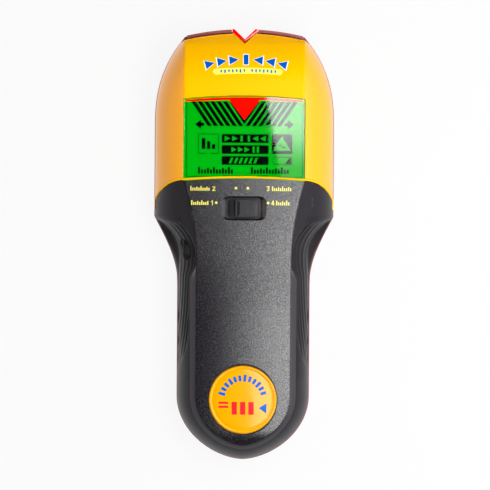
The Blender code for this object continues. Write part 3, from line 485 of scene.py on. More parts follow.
def carved(name, mesh, steps, materials, body="root", smooth_angle=32.0):
    """A piece with its cuts and additions applied, so that they are worked out only once."""
    rough = tool(name + "_rough", mesh)
    for material in materials:
        mesh.materials.append(material)
    for cutter, operation in steps:
        step = rough.modifiers.new(cutter.name, "BOOLEAN")
        step.operation = operation
        step.object = cutter
        step.solver = "EXACT"
    bpy.context.view_layer.update()
    evaluated = rough.evaluated_get(bpy.context.evaluated_depsgraph_get())
    result = bpy.data.meshes.new_from_object(evaluated)
    result.name = name
    for made in list(TOOLS.objects):
        bpy.data.objects.remove(made, do_unlink=True)
    return link(name, result, [], body, smooth_angle)


def to_mesh(name, form):
    mesh = bpy.data.meshes.new(name)
    form.to_mesh(mesh)
    form.free()
    return mesh


def loft_mesh(name, rings):
    """Closed mesh through rings of points, from the lowest ring to the highest."""
    form = bmesh.new()
    loops = [[form.verts.new((x * MM, y * MM, z * MM)) for x, y, z in ring] for ring in rings]
    for lower, upper in zip(loops, loops[1:]):
        for index in range(len(lower)):
            after = (index + 1) % len(lower)
            form.faces.new((lower[index], lower[after], upper[after], upper[index]))
    form.faces.new(list(reversed(loops[0])))
    form.faces.new(loops[-1])
    bmesh.ops.recalc_face_normals(form, faces=form.faces)
    return to_mesh(name, form)


def box_mesh(name, low, high, bevel=0.0, segments=2):
    form = bmesh.new()
    bmesh.ops.create_cube(form, size=1.0)
    for vert in form.verts:
        for axis in range(3):
            middle = (low[axis] + high[axis]) / 2
            vert.co[axis] = (middle + vert.co[axis] * (high[axis] - low[axis])) * MM
    if bevel > 0.0:
        bmesh.ops.bevel(form, geom=form.edges[:], offset=bevel * MM, segments=segments,
                        profile=0.5, affect="EDGES")
    return to_mesh(name, form)


def prism_mesh(name, outline, low_z, high_z, bevel=0.0, segments=2):
    """Outline given a thickness along Z, with both rims rounded."""
    form = bmesh.new()
    lower = [form.verts.new((x * MM, y * MM, low_z * MM)) for x, y in outline]
    upper = [form.verts.new((x * MM, y * MM, high_z * MM)) for x, y in outline]
    rims = []
    for index in range(len(outline)):
        after = (index + 1) % len(outline)
        wall = form.faces.new((lower[index], lower[after], upper[after], upper[index]))
        rims += [wall.edges[0], wall.edges[2]]
    form.faces.new(list(reversed(lower)))
    form.faces.new(upper)
    bmesh.ops.recalc_face_normals(form, faces=form.faces)
    if bevel <= 0.0:
        caps = [face for face in form.faces if len(face.verts) > 4]
        bmesh.ops.triangulate(form, faces=caps, ngon_method="EAR_CLIP")
    if bevel > 0.0:
        bmesh.ops.bevel(form, geom=rims, offset=bevel * MM, segments=segments, profile=0.5,
                        affect="EDGES")
    return to_mesh(name, form)


def turned_mesh(name, profile, middle, steps=96):
    """Profile of (radius, height) points turned about a vertical axis through middle."""
    form = bmesh.new()
    rings = []
    for radius, height in profile:
        if radius < 0.0001:
            rings.append([form.verts.new((middle[0] * MM, middle[1] * MM, height * MM))])
            continue
        ring = []
        for step in range(steps):
            angle = 2.0 * math.pi * step / steps
            ring.append(form.verts.new(((middle[0] + radius * math.cos(angle)) * MM,
                                        (middle[1] + radius * math.sin(angle)) * MM, height * MM)))
        rings.append(ring)
    for near, far in zip(rings, rings[1:]):
        for step in range(steps):
            after = (step + 1) % steps
            corners = [near[step % len(near)], near[after % len(near)],
                       far[after % len(far)], far[step % len(far)]]
            unique = list(dict.fromkeys(corners))
            if len(unique) > 2:
                form.faces.new(unique)
    bmesh.ops.recalc_face_normals(form, faces=form.faces)
    return to_mesh(name, form)


def rounded_rectangle(half_x, half_y, radius, middle=(0.0, 0.0), steps=6):
    points = []
    for corner, (side_x, side_y) in enumerate([(1, 1), (-1, 1), (-1, -1), (1, -1)]):
        for step in range(steps + 1):
            angle = math.radians(90.0 * (corner + step / steps))
            points.append((middle[0] + side_x * (half_x - radius) + radius * math.cos(angle),
                           middle[1] + side_y * (half_y - radius) + radius * math.sin(angle)))
    return points


def disc(x, y, radius, steps=20):
    """Outline of a round dot."""
    return [(x + radius * math.cos(2.0 * math.pi * step / steps),
             y + radius * math.sin(2.0 * math.pi * step / steps)) for step in range(steps)]


def bar(low_x, low_y, high_x, high_y):
    """Outline of an upright rectangle."""
    return [(low_x, low_y), (high_x, low_y), (high_x, high_y), (low_x, high_y)]


def printed(name, outlines, height, material, lift=0.03, cell=1.5):
    """Thin printed shapes laid on a surface that height(x, y) gives."""
    form = bmesh.new()
    for outline in outlines:
        verts = [form.verts.new((x, y, 0.0)) for x, y in outline]
        form.faces.new(verts)
    xs = [vert.co.x for vert in form.verts]
    ys = [vert.co.y for vert in form.verts]
    for axis, low, high in ((0, min(xs), max(xs)), (1, min(ys), max(ys))):
        for cut in range(1, int((high - low) / cell) + 1):
            point = [0.0, 0.0, 0.0]
            normal = [0.0, 0.0, 0.0]
            point[axis] = low + cut * cell
            normal[axis] = 1.0
            bmesh.ops.bisect_plane(form, geom=form.verts[:] + form.edges[:] + form.faces[:],
                                   plane_co=point, plane_no=normal)
    bmesh.ops.recalc_face_normals(form, faces=form.faces)
    for face in form.faces:
        if face.normal.z < 0.0:
            face.normal_flip()
    grown = bmesh.ops.extrude_face_region(form, geom=form.faces[:])
    top = [item for item in grown["geom"] if isinstance(item, bmesh.types.BMVert)]
    upper = set(top)
    for vert in form.verts:
        rise = lift if vert in upper else lift - PRINT_DEPTH
        vert.co.z = height(vert.co.x, vert.co.y) + rise
    bmesh.ops.scale(form, vec=(MM, MM, MM), verts=form.verts)
    bmesh.ops.recalc_face_normals(form, faces=form.faces)
    return link(name, to_mesh(name, form), [material])


def tube(name, points, radius, material):
    """Round bead along a list of points."""
    curve = bpy.data.curves.new(name, "CURVE")
    curve.dimensions = "3D"
    curve.bevel_depth = radius * MM
    curve.bevel_resolution = 4
    curve.use_fill_caps = True
    spline = curve.splines.new("POLY")
    spline.points.add(len(points) - 1)
    for point, place in zip(spline.points, points):
        point.co = (*(Vector(place) * MM), 1.0)
    guide = tool(name + "_guide", curve)
    bpy.context.view_layer.update()
    evaluated = guide.evaluated_get(bpy.context.evaluated_depsgraph_get())
    mesh = bpy.data.meshes.new_from_object(evaluated)
    bpy.data.objects.remove(guide, do_unlink=True)
    form = bmesh.new()
    form.from_mesh(mesh)
    bmesh.ops.remove_doubles(form, verts=form.verts, dist=0.000001)
    return link(name, to_mesh(name, form), [material], "root", 60)


# ---------------------------------------------------------------- materials

COAT_ROUGHNESS = 0.08
SPECKLE_RANGE = (0.40, 0.60)    # of the noise, stretched to give sharper speckles
WORN_AND_LIT_EDGE_RANGE = (0.53, 0.62)       # of the pointiness at a high edge that is paled, partly as wear and partly as a painted highlight
WORN_AND_LIT_EDGE_TONE = 0.6
GRAIN_HEIGHT = 0.0002
GLOW_DIP = 0.94


def remap(tree, value, from_low, from_high, to_low, to_high, smooth=False):
    """Output of a node that maps one range of a value onto another."""
    node = tree.nodes.new("ShaderNodeMapRange")
    if smooth:
        node.interpolation_type = "SMOOTHSTEP"
    for name, number in (("From Min", from_low), ("From Max", from_high), ("To Min", to_low),
                         ("To Max", to_high)):
        node.inputs[name].default_value = number
    tree.links.new(value, node.inputs["Value"])
    return node.outputs["Result"]


def blended(tree, first, second, factor):
    """Output of a node between two colours, the first a plain colour or another node's output."""
    node = tree.nodes.new("ShaderNodeMix")
    node.data_type = "RGBA"
    if isinstance(first, bpy.types.NodeSocket):
        tree.links.new(first, node.inputs["A"])
    else:
        node.inputs["A"].default_value = (*first, 1.0)
    node.inputs["B"].default_value = (*second, 1.0)
    tree.links.new(factor, node.inputs["Factor"])
    return node.outputs["Result"]


def split_axes(tree, space):
    """The X, Y and Z outputs of the coordinates in a space."""
    place = tree.nodes.new("ShaderNodeTexCoord")
    axes = tree.nodes.new("ShaderNodeSeparateXYZ")
    tree.links.new(place.outputs[space], axes.inputs["Vector"])
    return axes.outputs


def finish(name, colour, roughness, metallic=0.0, mottle=(400.0, 0.06), grain=(2500.0, 0.05),
           roughness_spread=0.05, wear_and_highlight=0.0, coat=0.0, emission=None, strength=0.0,
           transmission=0.0, ior=1.46, subsurface=0.0, specular=0.5, speckle=0.0):
    """Moulded surface: mottled colour, uneven gloss, fine grain in relief, and paled high edges that are
    partly wear and partly a painted highlight.
    """
    material = bpy.data.materials.new(name)
    material.use_nodes = True
    tree = material.node_tree
    shader = tree.nodes["Principled BSDF"]
    for setting, value in (("Metallic", metallic), ("IOR", ior), ("Transmission Weight", transmission),
                           ("Specular IOR Level", specular), ("Coat Weight", coat),
                           ("Coat Roughness", COAT_ROUGHNESS)):
        shader.inputs[setting].default_value = value
    if subsurface > 0.0:
        shader.inputs["Subsurface Weight"].default_value = subsurface
        shader.inputs["Subsurface Radius"].default_value = (0.002, 0.001, 0.0005)
    place = tree.nodes.new("ShaderNodeTexCoord").outputs["Object"]

    def noise(scale, detail):
        texture = tree.nodes.new("ShaderNodeTexNoise")
        texture.inputs["Scale"].default_value = scale
        texture.inputs["Detail"].default_value = detail
        tree.links.new(place, texture.inputs["Vector"])
        return texture.outputs["Fac"]

    patches = noise(mottle[0], 3.0)
    if speckle > 0.0:
        patches = remap(tree, patches, *SPECKLE_RANGE, 0.0, 1.0)
        glint = remap(tree, patches, 0.0, 1.0, specular * (1.0 - speckle), specular * (1.0 + speckle))
        tree.links.new(glint, shader.inputs["Specular IOR Level"])
    darker = [channel * (1.0 - mottle[1]) for channel in colour]
    lighter = [min(channel * (1.0 + mottle[1]), 1.0) for channel in colour]
    base = blended(tree, darker, lighter, patches)
    # Pale high edges found by pointiness: partly wear, partly a painted highlight along creases and
    # rims.
    if wear_and_highlight > 0.0:
        pointiness = tree.nodes.new("ShaderNodeNewGeometry").outputs["Pointiness"]
        pale = [(channel + WORN_AND_LIT_EDGE_TONE) / 2 for channel in colour]
        base = blended(tree, base, pale, remap(tree, pointiness, *WORN_AND_LIT_EDGE_RANGE, 0.0, wear_and_highlight))
    tree.links.new(base, shader.inputs["Base Color"])
    gloss = remap(tree, noise(mottle[0] * 0.4, 4.0), 0.0, 1.0, max(roughness - roughness_spread, 0.02),
                  min(roughness + roughness_spread, 1.0))
    tree.links.new(gloss, shader.inputs["Roughness"])
    bump = tree.nodes.new("ShaderNodeBump")
    bump.inputs["Strength"].default_value = grain[1]
    bump.inputs["Distance"].default_value = GRAIN_HEIGHT
    tree.links.new(noise(grain[0], 2.0), bump.inputs["Height"])
    tree.links.new(bump.outputs["Normal"], shader.inputs["Normal"])
    # Emission: the display's backlight and the pointer guide's light, and on the notch lens a painted
    # glow, though it is no lamp.
    if emission is not None:
        shader.inputs["Emission Strength"].default_value = strength
        dimmer = [channel * GLOW_DIP for channel in emission]
        glow = blended(tree, dimmer, emission, patches)
        tree.links.new(glow, shader.inputs["Emission Color"])
    return material


MAROON = finish("maroon_shell", (0.26, 0.014, 0.016), 0.36, wear_and_highlight=0.12, grain=(3000.0, 0.08))
YELLOW = finish("yellow_shell", (0.93, 0.465, 0.0), 0.30, mottle=(60.0, 0.02), grain=(1800.0, 0.03),
                specular=0.03, wear_and_highlight=0.02, roughness_spread=0.04)
# The flanks get a darker, more orange copy of the face's yellow: the two are lit and shaded copies of
# one plastic, and the flank copy is painted shade.
YELLOW_FLANK_SHADED = finish("yellow_flank_painted_shade", (0.90, 0.375, 0.0), 0.26, mottle=(60.0, 0.02),
                      grain=(1800.0, 0.03), specular=0.42, wear_and_highlight=0.02, roughness_spread=0.04)
GRIP_TEXTURED = finish("grip_textured", (0.010, 0.0088, 0.0118), 0.23, mottle=(1900.0, 0.75),
                       grain=(3000.0, 0.30), specular=0.56, speckle=0.24)
GRIP_SMOOTH = finish("grip_smooth", (0.015, 0.013, 0.017), 0.38, mottle=(300.0, 0.08),
                     grain=(4000.0, 0.15), wear_and_highlight=0.06, specular=0.13)
# Lighter band beside the grip's crease: a painted highlight for the light caught along the rounded
# crease.
GRIP_BAND_PAINTED_HIGHLIGHT = finish("grip_band_painted_highlight", (0.024, 0.022, 0.026), 0.34, mottle=(300.0, 0.08),
                   grain=(4000.0, 0.15), specular=0.35)
KNOB_FACE = finish("knob_face", (0.010, 0.009, 0.011), 0.36, mottle=(1800.0, 0.3),
                   grain=(1600.0, 0.5), specular=0.25)
KEY_RUBBER = finish("key_rubber", (0.009, 0.008, 0.010), 0.36, mottle=(600.0, 0.1),
                    grain=(3000.0, 0.1), specular=0.2)
GRIP_RIBBED = finish("grip_ribbed", (0.009, 0.0075, 0.010), 0.38, mottle=(700.0, 0.15),
                     grain=(3500.0, 0.2), specular=0.15)
# The notch lens's emission is a painted glow that makes the red plastic look brightly lit; the lens is
# no lamp.
RED_LENS_PAINTED_GLOW = finish("red_lens", (0.85, 0.0, 0.0), 0.12, mottle=(200.0, 0.05), coat=0.5,
                  emission=(1.0, 0.0, 0.0), strength=0.25)
RED_GUIDE = finish("red_guide", (0.85, 0.0, 0.0), 0.3, mottle=(200.0, 0.05), specular=0.0,
                   emission=(1.0, 0.004, 0.0), strength=0.85)
WINDOW = finish("clear_window", (0.97, 1.0, 0.98), 0.03, mottle=(50.0, 0.01), grain=(40.0, 0.01),
                roughness_spread=0.015, transmission=1.0, ior=1.45)
DISPLAY = finish("display_face", (0.0, 0.10, 0.005), 0.5, mottle=(120.0, 0.04), specular=0.0,
                 emission=(0.0, 0.43, 0.001), strength=1.0)
SEGMENT = finish("display_segment", (0.0, 0.006, 0.002), 0.5, mottle=(500.0, 0.1), specular=0.0)
LABEL = finish("label_print", (0.80, 0.72, 0.10), 0.4, mottle=(900.0, 0.08))
BLUE = finish("blue_print", (0.0, 0.095, 0.50), 0.3, mottle=(900.0, 0.06), specular=0.1)
WHITE_PRINT = finish("white_print", (0.90, 0.92, 0.88), 0.3, mottle=(900.0, 0.03), specular=0.1)
PALE_PRINT = finish("pale_print", (0.80, 0.85, 0.12), 0.3, mottle=(900.0, 0.04), specular=0.1)
RED_PRINT = finish("red_print", (0.95, 0.01, 0.02), 0.3, mottle=(900.0, 0.05), specular=0.1)
BADGE_FACE = finish("badge_face", (0.76, 0.335, 0.0), 0.16, mottle=(80.0, 0.03), specular=0.15,
                    coat=0.2)
RUBBER = finish("soft_rubber", (0.035, 0.034, 0.037), 0.6, mottle=(700.0, 0.1), grain=(3500.0, 0.3))
BLACK = finish("black_plastic", (0.018, 0.018, 0.019), 0.45, mottle=(500.0, 0.12))
WHITE = finish("white_plastic", (0.80, 0.80, 0.77), 0.5, mottle=(300.0, 0.03), subsurface=0.1)
FOAM = finish("foam", (0.10, 0.10, 0.11), 0.95, mottle=(1500.0, 0.4), grain=(1500.0, 1.0))
BOARD = finish("circuit_board", (0.012, 0.13, 0.045), 0.35, mottle=(600.0, 0.25), coat=0.4)
COPPER = finish("copper", (0.72, 0.33, 0.17), 0.35, metallic=1.0, mottle=(1200.0, 0.15))
STEEL = finish("steel", (0.55, 0.55, 0.57), 0.32, metallic=1.0, mottle=(900.0, 0.12),
               roughness_spread=0.1, wear_and_highlight=0.3)
CELL = finish("cell_case", (0.09, 0.10, 0.12), 0.3, metallic=0.5, mottle=(200.0, 0.1))
RED_WIRE = finish("red_wire", (0.55, 0.01, 0.01), 0.45, mottle=(500.0, 0.08))
BLACK_WIRE = finish("black_wire", (0.02, 0.02, 0.02), 0.45, mottle=(500.0, 0.1))

NODE_FINISHES = {
    "maroon_plastic": MAROON, "yellow_plastic": YELLOW, "charcoal_plastic": GRIP_SMOOTH,
    "red_lens": RED_LENS_PAINTED_GLOW, "clear_window": WINDOW, "lcd": DISPLAY, "white_plastic": WHITE,
    "black_plastic": BLACK, "soft_rubber": RUBBER, "foam": FOAM, "circuit_board": BOARD,
    "copper": COPPER, "steel": STEEL, "cell_case": CELL, "badge_plastic": BADGE_FACE,
    "red_wire": RED_WIRE, "black_wire": BLACK_WIRE,
}


def dress_nodes():
    """Gives each piece of the CAD model its material."""
    for part in RECORD["subparts"]:
        node = frame["nodes"][part["node"]]
        material = NODE_FINISHES[part["material_slot"]]
        if part["node"] == "pointer_guide":
            material = RED_GUIDE
        if not node.data.materials:
            node.data.materials.append(material)
        for slot in node.material_slots:
            slot.material = material


# ---------------------------------------------------------------- shells

def seam_points(shift, steps=28):
    """The curved seam from the right edge to the left, moved along Y by a shift."""
    points = []
    for step in range(steps + 1):
        angle = math.radians(90.0) * step / steps
        points.append((FACE_HALF_HEAD + SEAM_RADIUS * math.cos(angle),
                       SEAM_SIDE_Y + SEAM_RADIUS * math.sin(angle) + shift))
    for step in range(1, 12):
        x = FACE_HALF_HEAD * (1.0 - step / 12)
        points.append((x, SEAM_MIDDLE_Y - SEAM_SAG * (x / FACE_HALF_HEAD) ** 2 + shift))
    return points + [(0.0, SEAM_MIDDLE_Y + shift)] + [(-x, y) for x, y in reversed(points)]


def seam_cutter(name, shift, far_y):
    """Takes away all of the case from the seam to far_y."""
    outline = [(REACH, SEAM_SIDE_Y + shift)] + seam_points(shift) + [(-REACH, SEAM_SIDE_Y + shift)]
    outline += [(-REACH, far_y), (REACH, far_y)]
    return cut(name, prism_mesh(name, outline, 0.0, ABOVE))


NOTCH_SLOPE = (top_edge(NOTCH_HALF, END_Y) - NOTCH_Y) / NOTCH_HALF


def notch_cutter():
    """Takes away the marking notch, with its gap, through the whole height of the case."""
    low = NOTCH_Y - LENS_DEPTH - GAP
    arm = LENS_HALF + GAP
    outline = [(-arm, END_Y + 5.0), (-arm, low + NOTCH_SLOPE * arm), (0.0, low),
               (arm, low + NOTCH_SLOPE * arm), (arm, END_Y + 5.0)]
    return cut("notch", prism_mesh("notch", outline, BELOW, ABOVE))


def make_head_cover():
    """Yellow shell with the display's opening, and its lip along the seam."""
    skin = case_surface("head_skin", 0.0, 12.0, COVER_TOP_Y, *HEAD_DETAIL, False)
    hollow = case_surface("head_hollow", WALL, 8.0, COVER_TOP_Y, *HOLLOW_DETAIL)
    opening = [(-WINDOW_HALF, 15.0), (WINDOW_HALF, 15.0)]
    for step in range(25):
        share = 1.0 - step / 12
        opening.append((WINDOW_HALF * share, WINDOW_TOP_Y - WINDOW_TOP_SAG * share ** 2))
    steps = [cut("head_hollow", hollow), cut("opening", prism_mesh("opening", opening, 22.0, ABOVE)),
             notch_cutter(), seam_cutter("below_seam", GAP / 2, -120.0)]
    # The cover's flanks take the darker yellow copy: painted shade where they turn away from the light.
    cover = carved("cover_shell", skin, steps, [YELLOW, YELLOW_FLANK_SHADED])
    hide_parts("head_cover")
    points = []
    for x, y in seam_points(GAP / 2 + LIP_SHIFT, 40):
        reach = half_width(y) - CASE_STEP - LIP_INSET
        x = max(-reach, min(x, reach))
        points.append((x, y, skin_height(x, y) - LIP_SINK))
    lip = tube("seam_lip", points, LIP_RADIUS, YELLOW)


def slot_mouth():
    """Tapered mouth of the mode slot with a rounded lip, widest at the surface."""
    rings = []
    for rise, share, flare in [(-1.6, 0.0, 0.0), (-0.35, 0.8, 0.0), (-0.15, 0.9, 0.15), (0.4, 1.0, 0.7)]:
        outline = rounded_rectangle(SLOT_HALF_LENGTH + SLOT_BEVEL * share + flare,
                                    SLOT_HALF_HEIGHT + SLOT_BEVEL_SIDE * share + flare,
                                    SLOT_CORNER * (1.0 + share) + flare, (0.0, SLOT_Y), 8)
        rings.append([(x, y, HEAD_TOP + rise) for x, y in outline])
    return loft_mesh("slot_mouth", rings)


STAND = Matrix(((0, 0, 1), (1, 0, 0), (0, 1, 0))).to_4x4()


def key_mesh(name, grow, start_x, end_x, bevel=0.0, segments=3):
    """Pill-shaped bar along X at the scan button's place."""
    outline = rounded_rectangle(BUTTON_HALF_LENGTH + grow, BUTTON_HALF_HEIGHT + grow,
                                BUTTON_HALF_HEIGHT + grow - 0.01, (0.0, 0.0), 10)
    mesh = prism_mesh(name, outline, start_x, end_x, bevel, segments)
    mesh.transform(Matrix.Translation(Vector((0.0, BUTTON_Y, BUTTON_Z)) * MM) @ STAND)
    return mesh


def make_grip_housing():
    """Charcoal shell with thumb dishes, slot, key hole and badge recess."""
    skin = case_surface("grip_skin", 0.0, -END_Y, 30.0, *GRIP_DETAIL, True)
    hollow = case_surface("grip_hollow", WALL, -END_Y, 34.0, *HOLLOW_DETAIL)
    slot = rounded_rectangle(SLOT_HALF_LENGTH, SLOT_HALF_HEIGHT, SLOT_CORNER, (0.0, SLOT_Y), 6)
    rim = BADGE_RADIUS + 1.6
    seat = [(0.0, 28.2), (rim, 28.2), (rim, 31.2), (0.0, 31.2)]
    wall = BADGE_RADIUS + GAP
    recess = [(0.0, BADGE_FLOOR_Z), (wall, BADGE_FLOOR_Z), (wall, 32.1), (wall + 0.5, 32.6),
              (wall + 1.4, 33.6), (0.0, 33.6)]
    steps = [cut("grip_hollow", hollow), seam_cutter("above_seam", -GAP / 2, 120.0),
             cut("slot", prism_mesh("slot", slot, 30.0, ABOVE)), cut("slot_mouth", slot_mouth()),
             cut("key_hole", key_mesh("key_hole", GAP, -45.0, -18.0)),
             add("seat", turned_mesh("seat", seat, (0.0, BADGE_Y))),
             cut("recess", turned_mesh("recess", recess, (0.0, BADGE_Y), 128))]
    grip = carved("grip_shell", skin, steps, [GRIP_TEXTURED, GRIP_SMOOTH, GRIP_RIBBED, GRIP_BAND_PAINTED_HIGHLIGHT])
    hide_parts("grip_housing")


def make_window_sheet():
    """Front sheet of the display, lit from behind, that shows its marks."""
    outline = []
    for way, edge_y, sag in ((1.0, 27.9, 0.9), (-1.0, 63.9, 1.3)):
        for step in range(13):
            share = way * (step / 6 - 1.0)
            outline.append((SHEET_HALF * share, edge_y - sag * share ** 2))
    mesh = prism_mesh("front_polariser", outline, SHEET_Z - 0.15, SHEET_Z)
    sheet = link("front_polariser", mesh, [DISPLAY])


# ---------------------------------------------------------------- back of the case

SCREW_PLACES = [((low[0] + high[0]) / 2, (low[1] + high[1]) / 2)
                for low, high in (box_mm(f"housing_screw_{number}") for number in range(1, 6))]
DOOR_LOW, DOOR_HIGH = box_mm("battery_door")


def case_outline(inset):
    """Outline of the rear housing, made smaller all round by an inset."""
    points = []
    round_steps = 40
    for step in range(round_steps):
        angle = math.radians(90.0) * step / round_steps
        points.append(((HANDLE_HALF - inset) * math.sin(angle) ** ROUND_FULLNESS,
                       ROUND_START_Y - (ROUND_LENGTH - inset) * math.cos(angle)))
    corner_y = top_edge(TOP_HALF, END_Y)
    y = ROUND_START_Y
    while y < corner_y - 2.6:
        points.append((half_width(y) - inset, y))
        y += 1.2 if WAIST_END_Y - 1.0 < y < WAIST_TOP_Y or y > SHOULDER_START_Y else 4.0
    corner_x = half_width(corner_y) - inset
    top_steps = 36
    right = [point for point in points if point[0] > 0.01]
    for step in range(top_steps + 1):
        x = corner_x * (1.0 - 2.0 * step / top_steps)
        points.append((x, top_edge(x, END_Y - inset)))
    return points + [(-x, y) for x, y in reversed(right)]


def make_rear_housing():
    """Tray with rounded back edges, the bumper at the notch end, screw posts and the door's hole."""
    rings = []
    for step in range(7):
        angle = math.radians(90.0) * step / 6
        rings.append((BACK_ROUND * (1.0 - math.sin(angle)), BACK_ROUND * (1.0 - math.cos(angle))))
    lid_z = PARTING_Z - GAP
    rings += [(0.0, lid_z - RIM_BEVEL), (RIM_BEVEL, lid_z)]
    skin = loft_mesh("rear_skin", [[(x, y, z) for x, y in case_outline(inset)] for inset, z in rings])
    half = TOP_HALF - 1.0
    columns = [half * (1.0 - step / 16) for step in range(33)]
    outer = [(x, top_edge(x, END_Y - BUMPER_INSET)) for x in columns]
    inner = [(x, y - BUMPER_DEPTH) for x, y in reversed(outer)]
    post = [(0.0, 1.0), (3.3, 1.0), (3.3, lid_z), (0.0, lid_z)]
    sink = [(0.0, -1.0), (3.9, -1.0), (3.3, 0.0), (2.8, 0.35), (2.8, 3.0), (1.6, 3.0), (1.6, 20.0),
            (0.0, 20.0)]
    steps = [cut("tray", prism_mesh("tray", case_outline(WALL), 2.4, 40.0)),
             add("bumper", prism_mesh("bumper", outer + inner, 3.4, 24.0))]
    steps += [add(f"post_{number}", turned_mesh("post", post, place, 32))
              for number, place in enumerate(SCREW_PLACES)]
    steps += [cut(f"sink_{number}", turned_mesh("sink", sink, place, 40))
              for number, place in enumerate(SCREW_PLACES)]
    opening = bar(DOOR_LOW[0] - GAP, DOOR_LOW[1] - GAP, DOOR_HIGH[0] + GAP, DOOR_HIGH[1] + GAP)
    thumb = rounded_rectangle(8.0, 2.0, 1.9, (0.0, DOOR_HIGH[1] + GAP), 6)
    steps += [cut("door_hole", prism_mesh("door_hole", opening, -1.0, 5.0)),
              cut("thumb", prism_mesh("thumb", thumb, -1.0, 0.9)), notch_cutter()]
    rear = carved("rear_shell", skin, steps, [MAROON])
    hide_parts("rear_housing")


def make_battery_door():
    """Panel with finger grooves, an arrow, its snap tab and two stiffening ribs inside."""
    low, high = DOOR_LOW, DOOR_HIGH
    top_z = low[2] + 2.0
    panel = prism_mesh("panel", bar(low[0], low[1], high[0], high[1]), low[2], top_z, 0.35, 3)
    steps = []
    for number in range(5):
        middle = (0.0, high[1] - 8.6 + 1.5 * number)
        groove = rounded_rectangle(8.0 - 0.6 * number, 0.36, 0.35, middle, 4)
        steps.append(cut(f"groove_{number}", prism_mesh("groove", groove, -0.5, low[2] + 0.45)))
    arrow = [(-3.4, high[1] - 16.5), (0.0, high[1] - 11.5), (3.4, high[1] - 16.5)]
    steps.append(cut("arrow", prism_mesh("arrow", arrow, -0.5, low[2] + 0.3)))
    tab_y = high[1] - GAP
    tab = box_mesh("tab", (-4.0, tab_y - 1.6, low[2] + 1.0), (4.0, tab_y, high[2]), 0.2)
    steps.append(add("tab", tab))
    for number, x in enumerate((-10.0, 10.0)):
        rib = box_mesh("rib", (x - 0.5, low[1] + 3.0, top_z - 0.3),
                       (x + 0.5, high[1] - 3.0, top_z + 0.6))
        steps.append(add(f"stiffener_{number}", rib))
    door = carved("door_panel", panel, steps, [MAROON], "rear_door")
    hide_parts("battery_door")


def make_screws():
    """Pan-head screws with a cross recess and a threaded shank."""
    core, thread = 1.05, 1.3
    head = ((0.0, 0.0), (1.4, 0.04), (1.9, 0.16), (2.3, 0.45), (2.5, 0.9), (2.5, 1.9), (2.4, 2.0),
            (core, 2.0))
    for number, (x, y) in enumerate(SCREW_PLACES, start=1):
        low, high = box_mm(f"housing_screw_{number}")
        profile = [(radius, low[2] + rise) for radius, rise in head]
        z = low[2] + 2.4
        while z < high[2] - 1.7:
            profile += [(core, z), (thread, z + 0.28), (core, z + 0.56)]
            z += 0.9
        profile += [(core, high[2] - 1.2), (0.1, high[2]), (0.0, high[2])]
        steps = []
        for turn, (half_x, half_y) in enumerate(((1.5, 0.3), (0.3, 1.5))):
            cross = box_mesh("cross", (x - half_x, y - half_y, low[2] - 1.0),
                             (x + half_x, y + half_y, low[2] + 1.0))
            steps.append(cut(f"cross_{turn}", cross))
        screw = turned_mesh(f"screw_{number}", profile, (x, y), 48)
        made = carved(f"screw_{number}", screw, steps, [STEEL], "root", 35.0)
        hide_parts(f"housing_screw_{number}")


# ---------------------------------------------------------------- notch, controls and badge

def make_notch_lens():
    """Clear red lens in the marking notch, with softened rims."""
    low = NOTCH_Y - LENS_DEPTH
    side_y = low + NOTCH_SLOPE * LENS_HALF
    outline = [(-LENS_HALF, side_y), (0.0, low), (LENS_HALF, side_y), (LENS_HALF, END_Y),
               (NOTCH_HALF, END_Y), (0.0, NOTCH_Y), (-NOTCH_HALF, END_Y), (-LENS_HALF, END_Y)]
    mesh = prism_mesh("marking_lens", outline, GAP, LENS_TOP_Z, 0.12, 2)
    lens = link("marking_lens", mesh, [RED_LENS_PAINTED_GLOW], "root", 30)
    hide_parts("notch_lens")


def make_scan_button():
    """Key with a rounded cap standing out of the dish and a flange behind the case wall."""
    low, high = box_mm("scan_button")
    cap = key_mesh("key_cap", 0.0, low[0], high[0] - 0.4, 0.8, 5)
    flange = box_mesh("flange", (high[0] - 1.2, low[1], low[2]), (high[0], high[1], high[2]), 0.1)
    for name, mesh in (("scan_key_cap", cap), ("scan_key_flange", flange)):
        mesh.materials.append(KEY_RUBBER)
        mesh.shade_smooth()
        mesh.set_sharp_from_angle(angle=math.radians(40.0))
        key = bpy.data.objects.new(name, mesh)
        bpy.context.scene.collection.objects.link(key)
        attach(key, "scan_key")
        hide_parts("scan_button")


